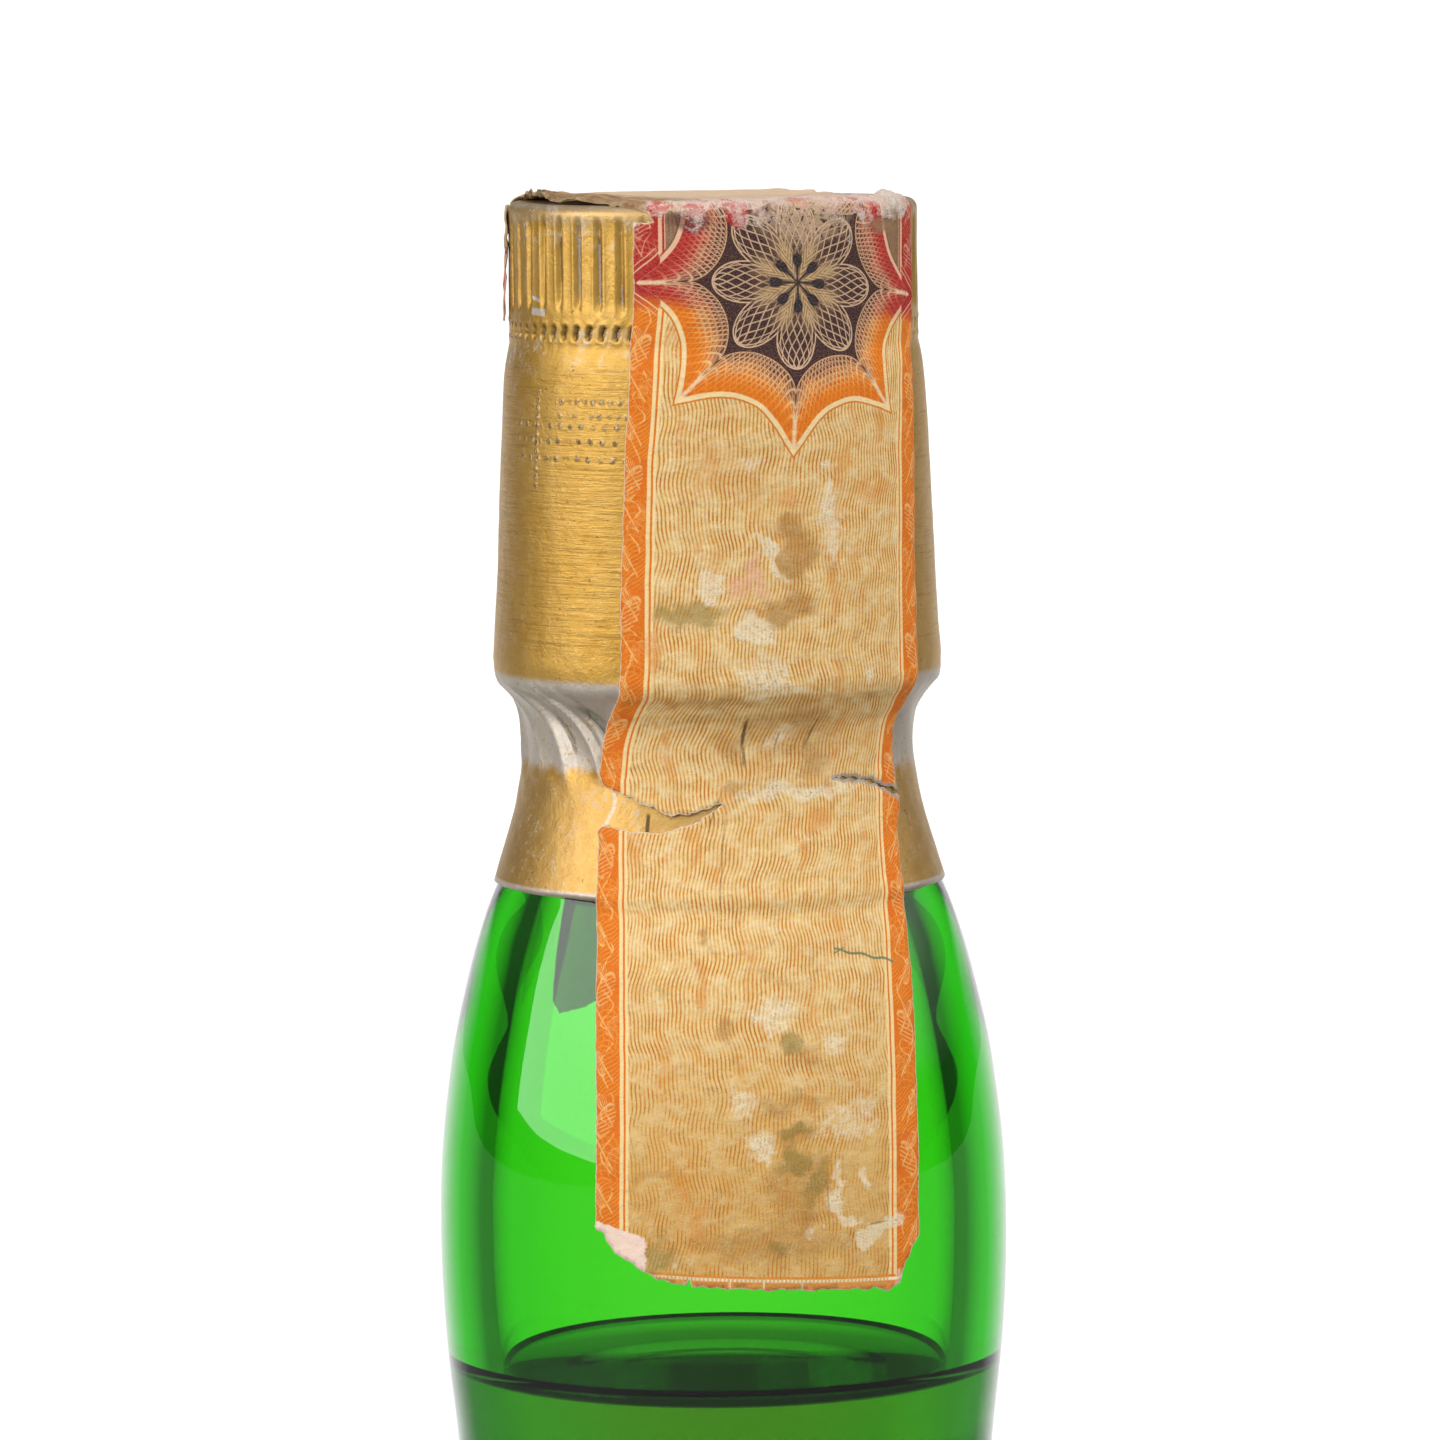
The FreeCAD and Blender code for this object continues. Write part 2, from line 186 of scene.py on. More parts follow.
# ------------------------------------------------------------------ node helper
class E:
    """A value in a node tree that can be written as arithmetic."""
    tree = None

    def __init__(self, s):
        self.s = s

    @staticmethod
    def math(op, *args, clamp=False):
        n = E.tree.nodes.new("ShaderNodeMath")
        n.operation = op
        n.use_clamp = clamp
        for i, a in enumerate(args):
            if isinstance(a, E):
                E.tree.links.new(a.s, n.inputs[i])
            else:
                n.inputs[i].default_value = float(a)
        return E(n.outputs[0])

    def __add__(a, b): return E.math("ADD", a, b)
    def __radd__(a, b): return E.math("ADD", b, a)
    def __sub__(a, b): return E.math("SUBTRACT", a, b)
    def __rsub__(a, b): return E.math("SUBTRACT", b, a)
    def __mul__(a, b): return E.math("MULTIPLY", a, b)
    def __rmul__(a, b): return E.math("MULTIPLY", b, a)
    def __truediv__(a, b): return E.math("DIVIDE", a, b)
    def __rtruediv__(a, b): return E.math("DIVIDE", b, a)
    def __neg__(a): return E.math("MULTIPLY", a, -1.0)


def e_abs(a): return E.math("ABSOLUTE", a)
def e_sin(a): return E.math("SINE", a)
def e_cos(a): return E.math("COSINE", a)
def e_min(a, b): return E.math("MINIMUM", a, b)
def e_max(a, b): return E.math("MAXIMUM", a, b)
def e_sqrt(a): return E.math("SQRT", a)
def e_atan2(a, b): return E.math("ARCTAN2", a, b)
def e_mod(a, b): return E.math("FLOORED_MODULO", a, b)
def e_pow(a, b): return E.math("POWER", a, b)
def e_clamp(a): return E.math("ADD", a, 0.0, clamp=True)
def e_step(a, edge, soft):
    """0 below the edge, 1 above it, over a soft width."""
    return E.math("MULTIPLY_ADD", a, 1.0 / soft, 0.5 - edge / soft, clamp=True)
def e_less(a, edge, soft):
    return E.math("MULTIPLY_ADD", a, -1.0 / soft, 0.5 + edge / soft, clamp=True)
def e_ping(a, period):
    """Distance to the nearest multiple of the period."""
    return E.math("PINGPONG", a, period / 2.0)


def mix(fac, a, b):
    """Colour mix; a and b are colour tuples or sockets."""
    n = E.tree.nodes.new("ShaderNodeMix")
    n.data_type = "RGBA"
    n.blend_type = "MIX"
    for idx, v in ((0, fac), (6, a), (7, b)):
        if isinstance(v, E):
            E.tree.links.new(v.s, n.inputs[idx])
        elif isinstance(v, tuple):
            n.inputs[idx].default_value = (*v[:3], 1.0)
        else:
            n.inputs[idx].default_value = float(v)
    return E(n.outputs[2])


def attribute(name, vector=False):
    n = E.tree.nodes.new("ShaderNodeAttribute")
    n.attribute_name = name
    return E(n.outputs["Vector"] if vector else n.outputs["Fac"])


def separate(v):
    n = E.tree.nodes.new("ShaderNodeSeparateXYZ")
    E.tree.links.new(v.s, n.inputs[0])
    return E(n.outputs[0]), E(n.outputs[1]), E(n.outputs[2])


def combine(x, y, z=0.0):
    n = E.tree.nodes.new("ShaderNodeCombineXYZ")
    for i, a in enumerate((x, y, z)):
        if isinstance(a, E):
            E.tree.links.new(a.s, n.inputs[i])
        else:
            n.inputs[i].default_value = float(a)
    return E(n.outputs[0])


def tex_noise(vec, scale, detail=3.0, rough=0.55, distort=0.0):
    n = E.tree.nodes.new("ShaderNodeTexNoise")
    n.inputs["Scale"].default_value = scale
    n.inputs["Detail"].default_value = detail
    n.inputs["Roughness"].default_value = rough
    n.inputs["Distortion"].default_value = distort
    E.tree.links.new(vec.s, n.inputs["Vector"])
    return E(n.outputs["Fac"])


def tex_voronoi(vec, scale, feature="F1"):
    n = E.tree.nodes.new("ShaderNodeTexVoronoi")
    n.feature = feature
    n.inputs["Scale"].default_value = scale
    E.tree.links.new(vec.s, n.inputs["Vector"])
    return E(n.outputs["Distance"])


def obj_coord():
    n = E.tree.nodes.new("ShaderNodeTexCoord")
    return E(n.outputs["Object"])


def ramp(fac, stops):
    n = E.tree.nodes.new("ShaderNodeValToRGB")
    E.tree.links.new(fac.s, n.inputs[0])
    el = n.color_ramp.elements
    el[0].position, el[0].color = stops[0][0], (*stops[0][1], 1.0)
    el[1].position, el[1].color = stops[-1][0], (*stops[-1][1], 1.0)
    for p, c in stops[1:-1]:
        e = el.new(p)
        e.color = (*c, 1.0)
    return E(n.outputs[0])


def bump(height, distance, strength=1.0, normal=None):
    n = E.tree.nodes.new("ShaderNodeBump")
    n.inputs["Distance"].default_value = distance
    n.inputs["Strength"].default_value = strength
    E.tree.links.new(height.s, n.inputs["Height"])
    if normal:
        E.tree.links.new(normal.s, n.inputs["Normal"])
    return E(n.outputs[0])


def new_mat(name):
    m = bpy.data.materials.new(name)
    m.use_nodes = True
    E.tree = m.node_tree
    return m, m.node_tree.nodes["Principled BSDF"], m.node_tree.nodes["Material Output"]


def put(e, socket):
    E.tree.links.new(e.s, socket)


def srgb(r, g, b):
    """Linear colour of a display colour given in 0..255."""
    def one(c):
        c = c / 255.0
        return c / 12.92 if c <= 0.04045 else ((c + 0.055) / 1.055) ** 2.4
    return (one(r), one(g), one(b))


# ------------------------------------------------------------------ glass bottle
def bottle_outline():
    r, e = BODY_R - BODY_WALL, BODY_R - BODY_WALL - INNER_HEEL_R
    rim = CAP_R - FOIL
    out = [(0.0, PUNT_H)]
    for k in np.linspace(0.08, 1.0, 14):            # hollow under the base
        out.append((FOOT_R_IN * k, PUNT_H * (1 - k ** 1.9) ** 0.85 if k < 1 else 0.0))
    out += [(FOOT_R_OUT, 0.0)] + arc_pts(FOOT_R_OUT, HEEL_R, HEEL_R, -90, 0, 12)[1:]
    out += [(BODY_R, z) for z in np.linspace(HEEL_R + 4, SHOULDER_Z - 4, 24)]
    out += swing((BODY_R, SHOULDER_Z), (WAIST_R, WAIST_Z), SHOULDER_R, 1.2)[:-1]
    out += bulb_up()
    out += side_down(-FOIL, 0.6)[::-1][1:]
    out += [(rim, 292.0), (rim, MOUTH_Z - 0.6), (rim - 0.6, MOUTH_Z), (BORE_R + 0.8, MOUTH_Z), (BORE_R, MOUTH_Z - 0.8),
            (BORE_R, 280.0), (BORE_R, BORE_END_Z)]
    out += cavity_down()[1:]
    return out


def cavity_down(offset=0.0):
    r = BODY_R - BODY_WALL
    e = r - INNER_HEEL_R
    up = smooth([(INNER_BULB_R, BULB_Z)] + BULB_HIGH_IN + [(BORE_R, BORE_END_Z)], 0.9)[::-1]
    pts = up + swing((INNER_BULB_R, BULB_Z), (INNER_WAIST_R, WAIST_Z), INNER_BULB_ROUND_R, 1.2)[1:]
    pts += swing((r, SHOULDER_Z), (INNER_WAIST_R, WAIST_Z), INNER_SHOULDER_R, 1.2)[::-1][1:]
    pts += [(r, z) for z in np.linspace(SHOULDER_Z - 6, FLOOR_EDGE_Z + INNER_HEEL_R + 4, 18)]
    pts += arc_pts(e, FLOOR_EDGE_Z + INNER_HEEL_R, INNER_HEEL_R, 0, -90, 10)
    for k in np.linspace(0.92, 0.0, 12):
        pts.append((e * k, FLOOR_Z - (FLOOR_Z - FLOOR_EDGE_Z) * k ** 2))
    return [(q[0] + offset, q[1]) if q[0] > 1e-6 else q for q in pts]


def glass_wobble(rr, zz, ang):
    """The slight unevenness of blown glass."""
    w = 0.035 * np.sin(2 * ang + zz[0] * 0.045) + 0.02 * np.sin(3 * ang - zz[0] * 0.08 + 1.0)
    keep = np.clip((zz[0] - 12.0) / 10.0, 0, 1) * np.clip((HEM_Z - 1.0 - zz[0]) / 10.0, 0, 1)
    return rr + w * keep, zz


glass = revolve("green_glass_bottle", bottle_outline(), 180, wobble=glass_wobble)


# whisky: follows the inside of the glass and reaches just into the wall, with a raised meniscus at its edge
def whisky_outline():
    into = 0.12
    cav = [q for q in cavity_down(into) if q[1] < FILL_Z - 0.3]
    cav_r = lambda z: np.interp(z, [q[1] for q in cavity_down(into)][::-1], [q[0] for q in cavity_down(into)][::-1])
    rise, fall = 1.7, 1.25
    top = [(0.0, FILL_Z)]
    wall = float(cav_r(FILL_Z + rise))
    for r in np.linspace(1.5, wall - into - 6.0, 8):
        top.append((float(r), FILL_Z))
    for k in np.linspace(-5.9, 0.0, 26):
        top.append((wall - into + k, FILL_Z + rise * math.exp(k / fall)))
    top.append((wall, FILL_Z + rise + 0.05))
    for z in (FILL_Z + 0.9, FILL_Z + 0.2):
        top.append((float(cav_r(z)), z))
    return (top + cav)[::-1]


whisky = revolve("whisky_drink", whisky_outline(), 160)


# ------------------------------------------------------------------ closure
def fnoise(x, y, z, s):
    return noise.noise(Vector((x * s, y * s, z * s)))


def closure_mesh():
    segs = 696
    ang = (np.arange(segs) + 0.5) * 2 * math.pi / segs
    th = np.degrees(np.arctan2(np.cos(ang) * 0 + np.sin(ang), np.cos(ang)))
    outline, kind = [], []
    for r in (0.0, 5.0, 10.0, 13.0):
        outline.append((r, CAP_TOP_Z - 0.02))
    outline += arc_pts(CAP_R - CAP_EDGE_R, CAP_TOP_Z - CAP_EDGE_R, CAP_EDGE_R, 90, 0, 6)
    for z in (298.2, 297.8, 297.4, 296.6, 295.6, 294.6, 293.6, 292.8, 292.3, 291.9, 291.6, 291.3, 291.05):
        outline.append((CAP_R, z))
    for z in np.linspace(290.85, 289.35, 11):
        outline.append((CAP_R, float(z)))
    side = smooth(SKIRT, 0.9)
    lower = smooth([(BEAD_R, BEAD_Z)] + UNDER_BEAD + HEM, 0.42)
    outline += side[:-1] + lower
    inner = smooth([(BEAD_R, BEAD_Z)] + UNDER_BEAD + HEM, 1.6)[::-1]
    into = FOIL + 0.06
    outline += [(HEM_R - 0.1, HEM_Z - 0.02), (HEM_R - into, HEM_Z + 0.02)]
    outline += [(r - into, z) for r, z in inner[1:]] + [(CAP_R - into, 287.0), (CAP_R - into, 297.0), (0.0, 297.0)]
    n_out = len(side) + len(lower)
    verts, rows, wear, groove_shades = [], [], [], []
    total_outer = 4 + 6 + 13 + 11 + len(side) - 1 + len(lower)
    ca, sa = np.cos(ang), np.sin(ang)
    pitch = 2 * math.pi / KNURLS
    slit_pitch = 2 * math.pi / SLITS
    for k, (r, z) in enumerate(outline):
        if r < 1e-6:
            rows.append([len(verts)])
            verts.append((0, 0, z * MM))
            wear.append(0.0)
            groove_shades.append(0.0)
            continue
        rows.append(list(range(len(verts), len(verts) + segs)))
        rr = np.full(segs, r)
        zz = np.full(segs, z)
        w = np.zeros(segs)
        groove_shade = np.zeros(segs)
        outer = k < total_outer
        if outer and r > 12.9:
            # knurls: broad rounded ridges with narrow grooves between them
            ph = ((ang / pitch + 0.12 * np.sin(3 * ang)) % 1.0) - 0.5
            top_fade = np.clip((298.45 - z) / 0.7, 0, 1)
            low_edge = 291.45 + 0.18 * np.sin(ang * 5.0 + 1.0)
            low_fade = np.clip((z - low_edge) / 0.8, 0, 1)
            groove = np.exp(-(ph / 0.15) ** 2) * 0.36 + 0.05 * (1 - np.cos(ph * 2 * math.pi)) * (np.abs(ph) > 0.3)
            rr = rr - groove * top_fade * low_fade * (0.85 + 0.25 * np.sin(ang * 7.0 + z * 0.4))
            # painted shade: how much the colour is darkened in the knurl grooves
            groove_shade = np.exp(-(ph / 0.10) ** 2) * 0.35 * top_fade * low_fade
            # slanted slits between the bridges
            sp = ((ang + math.radians(14) * 0.0 - (z - SLIT_Z) * math.tan(math.radians(14)) / CAP_R) / slit_pitch) % 1.0 - 0.5
            in_z = np.clip((0.52 - abs(z - SLIT_Z)) / 0.14, 0, 1)
            slit = np.clip((0.17 - np.abs(sp)) / 0.06, 0, 1) * in_z
            rr = rr - slit * 0.46
            # painted shade: the slits are darkened in the colour too
            groove_shade = groove_shade + slit
            w = w + 0.75 * in_z * np.clip((np.abs(sp) - 0.2) / 0.1, 0, 1) * (0.5 + 0.5 * np.sin(ang * 2.0 + 3.6))
            lipz = np.exp(-((abs(z - SLIT_Z) - 0.62) / 0.2) ** 2)
            rr = rr + 0.05 * lipz * np.clip((0.4 - np.abs(sp)) / 0.2, 0, 1)
            # pleats pressed into the waist, swept down and to the right, with one deep fold
            env = np.clip((264.5 - z) / 1.0, 0, 1) * np.clip((z - 256.9) / 2.2, 0, 1)
            if env > 0:
                run = min(1.0, max(0.0, (264.4 - z) / 7.4))
                lean = 0.36 * (1 - (1 - run) ** 2.1)
                a0 = ang - lean
                base = a0 * 27 / (2 * math.pi)
                irregular = 0.25 * np.sin(5 * a0) + 0.18 * np.sin(11 * a0 + 2.0)
                pp = (base + irregular) % 1.0
                saw = np.where(pp < 0.80, (pp / 0.80) ** 1.6, (1 - pp) / 0.20)
                amp = 0.20 + 0.15 * np.sin(7 * a0 + 1.0)
                under_strip = 1.0 - np.clip((19.0 - np.abs((np.degrees(ang) + 90.0 - 14.0 + 180) % 360 - 180) * 0.62) / 6.0, 0, 1)
                keep = under_strip * 0.8 + 0.2
                rr = rr + (saw - 0.60) * amp * 1.7 * env * keep
                w = w + np.clip((saw - 0.72) * 3.2, 0, 1) * env * 0.9
                deep = (np.degrees(a0) + 90.0 - (-48.5) + 180) % 360 - 180
                cut = np.exp(-(deep / 2.1) ** 2) * np.clip((z - 257.4) / 1.5, 0, 1) * np.clip((263.3 - z) / 0.9, 0, 1)
                rr = rr - 0.55 * cut
                # painted shade: the deep fold is darkened in the colour too
                groove_shade = groove_shade + cut * 0.9
                rr = rr + 0.22 * np.exp(-((deep + 3.6) / 1.4) ** 2) * env
            # the bead's edge is a little uneven, and so is the hem
            rr = rr + 0.03 * np.sin(9 * ang + z) * np.exp(-((z - 264.4) / 0.8) ** 2)
            if z < 252.5:
                f = (252.5 - z) / (252.5 - HEM_Z)
                zz = zz + f * (0.10 * np.sin(4 * ang + 0.6) + 0.05 * np.sin(13 * ang))
            # dents and the general unevenness of thin foil
            un = np.array([fnoise(c * r, s * r, z, 0.22) * 0.05 + fnoise(c * r, s * r, z + 50, 0.75) * 0.025 for c, s in zip(ca[::4], sa[::4])])
            un = np.interp(np.arange(segs), np.arange(0, segs, 4), un, period=segs)
            rr = rr + un * np.clip((298.8 - z) / 1.0, 0, 1)
        verts.extend(zip(rr * ca * MM, rr * sa * MM, zz * MM))
        wear.extend(w)
        groove_shades.extend(np.clip(groove_shade, 0, 1))
    faces = []
    for a, b in zip(rows, rows[1:]):
        for i in range(segs):
            j = (i + 1) % segs
            if len(a) == 1:
                faces.append((a[0], b[i], b[j]))
            elif len(b) == 1:
                faces.append((a[i], b[0], a[j]))
            else:
                faces.append((a[i], b[i], b[j], a[j]))
    o = obj_from("gold_closure", verts, faces)
    float_attr(o, "wear", wear)
    float_attr(o, "groove_shade", groove_shades)
    return o


closure = closure_mesh()

# ------------------------------------------------------------------ tax strip
# path of the strip: t is the length along it in mm, from the lower end of the front leg
STRIP_HALF = 12.45
FRONT_CENTRE = [(200.0, 8.0), (221.0, 8.0), (227.7, 8.2), (242.0, 9.5), (252.5, 11.2), (256.0, 12.4), (260.3, 14.2), (264.1, 18.1),
                (272.5, 19.2), (281.4, 20.8), (292.3, 25.3), (300.0, 25.5)]
BACK_CENTRE = [(230.0, 198.0), (244.0, 198.5), (255.0, 199.5), (268.0, 201.5), (289.0, 205.0), (300.0, 205.5)]
FRONT_LOW = 221.2


def path_outline():
    """(r, z) of the paper's inner side, from the glass up to the edge of the top, then flat to the axis."""
    glass_part = [(glass_r(z), z) for z in np.arange(FRONT_LOW - 1.0, HEM_Z - 0.6, 0.25)]
    foil_part = [(skirt_r(z), z) for z in np.arange(HEM_Z + 0.1, SKIRT_TOP_Z, 0.2)]
    cap = [(CAP_R, z) for z in np.arange(SKIRT_TOP_Z + 0.1, CAP_TOP_Z - CAP_EDGE_R, 0.3)]
    edge = arc_pts(CAP_R - CAP_EDGE_R, CAP_TOP_Z - CAP_EDGE_R, CAP_EDGE_R, 0, 90, 7)
    return [(float(r), float(z)) for r, z in glass_part + foil_part + cap + edge]


PATH = np.array(path_outline())
PATH_LEN = np.concatenate([[0], np.cumsum(np.hypot(np.diff(PATH[:, 0]), np.diff(PATH[:, 1])))])
T_FOLD = PATH_LEN[-1]                    # where the paper turns onto the top
TOP_LEN = 2 * (CAP_R - CAP_EDGE_R)
T_END = T_FOLD + TOP_LEN + T_FOLD


def z_to_t(z):
    return float(np.interp(z, PATH[:, 1], PATH_LEN))


def strip_point(s, t, lift):
    """Place of the paper point s across and t along, lifted off the surface by lift."""
    fc = np.array(FRONT_CENTRE)
    bc = np.array(BACK_CENTRE)
    if t <= T_FOLD or t >= T_FOLD + TOP_LEN:
        back = t > T_FOLD
        tt = T_FOLD - (t - T_FOLD - TOP_LEN) if back else t
        r = np.interp(tt, PATH_LEN, PATH[:, 0])
        z = np.interp(tt, PATH_LEN, PATH[:, 1])
        r2 = np.interp(tt + 0.3, PATH_LEN, PATH[:, 0])
        r1 = np.interp(tt - 0.3, PATH_LEN, PATH[:, 0])
        z2 = np.interp(tt + 0.3, PATH_LEN, PATH[:, 1])
        z1 = np.interp(tt - 0.3, PATH_LEN, PATH[:, 1])
        d = max(1e-9, math.hypot(r2 - r1, z2 - z1))
        nr, nz = (z2 - z1) / d, -(r2 - r1) / d
        rs = max(r, 14.25)
        c = np.interp(z, bc[:, 0], bc[:, 1]) if back else np.interp(z, fc[:, 0], fc[:, 1])
        a = math.radians(c) + (-s if back else s) / max(rs, CAP_R if z > 289 else 0)
        r, z = r + nr * lift, z + nz * lift
        return (r * math.sin(a) * MM, -r * math.cos(a) * MM, z * MM)
    q = (t - T_FOLD) / TOP_LEN
    re = CAP_R - CAP_EDGE_R
    w = max(-1.5, s / CAP_R)
    x, y = (re + 0.02) * math.sin(w), -re * math.cos(w) * (1 - 2 * q)
    a = math.radians(TOP_TURN)
    return ((x * math.cos(a) - y * math.sin(a)) * MM, (x * math.sin(a) + y * math.cos(a)) * MM, (CAP_TOP_Z + lift) * MM)


def lift_at(s, t, u):
    """How far the paper stands off: creases, cockles, bubbles and curled edges."""
    n1 = fnoise(s, t, 7.0, 0.16)
    n2 = fnoise(s, t, 19.0, 0.45)
    n3 = fnoise(s, t, 33.0, 1.3)
    h = 0.05 * (n1 + 0.6) + 0.045 * n2 + 0.02 * n3
    edge = max(0.0, abs(u) - 0.9) / 0.1
    h += 0.05 * edge * (0.5 + n2)
    for t0, w, a in CREASES:
        h += a * math.exp(-((t - t0 - 0.35 * n1) / w) ** 2)
    return max(0.0, h)


T_BEAD = z_to_t(264.6)
T_TEAR = z_to_t(255.6)
CREASES = [(T_BEAD + 0.5, 0.35, 0.10), (T_BEAD - 2.2, 0.6, 0.10), (z_to_t(257.8), 0.3, 0.08), (z_to_t(249.4), 0.8, 0.10)]


def wobbly(points, amp, freq, seed, step=0.3):
    """An outline made of straight runs, torn a little: (s, t) points."""
    out = []
    for (s0, t0), (s1, t1) in zip(points, points[1:]):
        d = math.hypot(s1 - s0, t1 - t0)
        n = max(1, int(d / step))
        for k in range(n):
            f = k / n
            s, t = s0 + (s1 - s0) * f, t0 + (t1 - t0) * f
            nx, nt = -(t1 - t0) / d, (s1 - s0) / d
            w = fnoise(s, t, seed, freq) * amp + fnoise(s, t, seed + 9, freq * 3.1) * amp * 0.45
            out.append((s + nx * w, t + nt * w))
    out.append(points[-1])
    return out


def th_s(th, z):
    """Strip coordinate across for an angle from the front, at a height."""
    fc = np.array(FRONT_CENTRE)
    r = max(float(np.interp(z, PATH[:, 1], PATH[:, 0])), 14.25)
    return math.radians(th - float(np.interp(z, fc[:, 0], fc[:, 1]))) * r


def P(th, z):
    return (th_s(th, z), z_to_t(z))


def inside(poly, pts):
    """Even-odd test of many points against one outline."""
    x, y = pts[:, 0], pts[:, 1]
    res = np.zeros(len(pts), bool)
    p = np.array(poly)
    for (x0, y0), (x1, y1) in zip(p, np.roll(p, -1, axis=0)):
        if y0 == y1:
            continue
        cross = ((y0 > y) != (y1 > y)) & (x < (x1 - x0) * (y - y0) / (y1 - y0) + x0)
        res ^= cross
    return res


def strip_outline():
    H = STRIP_HALF
    t_front0 = z_to_t(226.3)
    b_end = T_END - z_to_t(238.0)          # where the back leg ends
    left_front = [(-H, b_end * 0 + t_front0), (-H - 0.05, z_to_t(240.0)), (-H + 0.1, T_TEAR - 1.5)]
    tear_left_low = [P(-33.1, 254.6), P(-28.0, 254.35), P(-22.1, 254.2), P(-16.3, 254.15), P(-9.0, 254.6), P(-5.2, 255.0), P(0.9, 256.1)]
    tear_left_up = [P(1.2, 256.2), P(-3.2, 255.9), P(-8.0, 255.4), P(-13.0, 255.35), P(-16.6, 255.75), P(-22.8, 256.4), P(-29.2, 256.8), P(-35.0, 257.4)]
    lo = tear_left_low
    up = tear_left_up
    left_up = [(-H, z_to_t(258.2)), (-H, T_BEAD + 3), (-H + 0.08, z_to_t(280)), (-H, T_FOLD - 1.6), (-H + 1.5, T_FOLD - 1.55)]
    left_top = [(-H + 1.2, T_FOLD - 1.0), (-14.6, T_FOLD - 0.1), (-17.5, T_FOLD + 0.5), (-20.5, T_FOLD + 1.6), (-21.8, T_FOLD + 6.0),
                (-21.5, T_FOLD + 14.0), (-20.0, T_FOLD + 22.0), (-16.0, T_FOLD + TOP_LEN - 0.8)]
    left_back = [(-H, T_FOLD + TOP_LEN + 4), (-H, T_FOLD + TOP_LEN + 30), (-H + 0.2, b_end - 1.0)]
    end_back = [(-H + 1.5, b_end + 0.4), (-2.0, b_end - 0.3), (6.0, b_end + 0.8), (H - 0.6, b_end + 2.0)]
    right_back = [(H, b_end), (H, T_FOLD + TOP_LEN + 30), (H, T_FOLD + TOP_LEN + 3)]
    right_top = [(H - 0.2, T_FOLD + TOP_LEN - 3), (H - 1.0, T_FOLD + 9), (H - 0.2, T_FOLD + 2), (H, T_FOLD - 1)]
    right_up = [(H, z_to_t(285)), (H - 0.1, T_BEAD + 6), (H, T_BEAD + 0.5), (H - 0.6, z_to_t(261.0)), (H - 0.3, z_to_t(258.5))]
    tear_right = [P(61.0, 256.4), P(55.0, 256.8), P(47.0, 257.5), P(38.0, 257.75), P(34.5, 257.8), P(38.0, 257.62), P(47.0, 257.32),
                  P(54.0, 256.58), P(61.4, 255.9)]
    right_low = [(H - 0.3, z_to_t(254.0)), (H, z_to_t(244.0)), (H, z_to_t(232.0)), P(42.1, 224.9)]
    end_front = [P(40.2, 224.2), P(38.6, 223.0), P(36.5, 221.5), P(34.4, 221.2), P(31.0, 221.35), P(20.0, 221.6), P(11.1, 221.75), P(-2.0, 222.0),
                 P(-6.0, 222.1), P(-6.6, 222.75), P(-7.4, 222.2), P(-12.7, 222.6), P(-17.5, 223.6), P(-21.5, 224.4), P(-24.5, 225.7), P(-26.2, 226.35)]
    loop = []
    loop += wobbly(left_front + [lo[0]], 0.10, 0.9, 3.0)[:-1]
    loop += wobbly(lo, 0.22, 1.4, 11.0, 0.22)[:-1]
    loop += wobbly(up, 0.26, 1.4, 23.0, 0.22)[:-1]
    loop += wobbly([up[-1]] + left_up + left_top[:1], 0.10, 0.9, 5.0)[:-1]
    loop += wobbly(left_top + left_back[:1], 0.35, 0.8, 8.0)[:-1]
    loop += wobbly(left_back + end_back[:1], 0.12, 0.9, 13.0)[:-1]
    loop += wobbly(end_back + right_back[:1], 0.4, 1.0, 17.0)[:-1]
    loop += wobbly(right_back + right_top[:1], 0.12, 0.9, 29.0)[:-1]
    loop += wobbly(right_top + right_up[:1], 0.3, 0.8, 31.0)[:-1]
    loop += wobbly(right_up + tear_right[:1], 0.10, 0.9, 37.0)[:-1]
    loop += wobbly(tear_right, 0.2, 1.6, 41.0, 0.22)[:-1]
    loop += wobbly([tear_right[-1]] + right_low + end_front[:1], 0.10, 0.9, 43.0)[:-1]
    loop += wobbly(end_front + left_front[:1], 0.22, 1.3, 47.0, 0.22)[:-1]
    return loop


def dist_to(poly, pts, chunk=2000):
    """Distance of each point from the outline."""
    a = np.array(poly)
    b = np.roll(a, -1, axis=0)
    ab = b - a
    L = (ab ** 2).sum(1) + 1e-12
    out = np.empty(len(pts))
    for i in range(0, len(pts), chunk):
        p = pts[i:i + chunk][:, None, :] - a[None]
        k = np.clip((p * ab[None]).sum(2) / L[None], 0, 1)
        out[i:i + chunk] = np.sqrt(((p - k[..., None] * ab[None]) ** 2).sum(2).min(1))
    return out


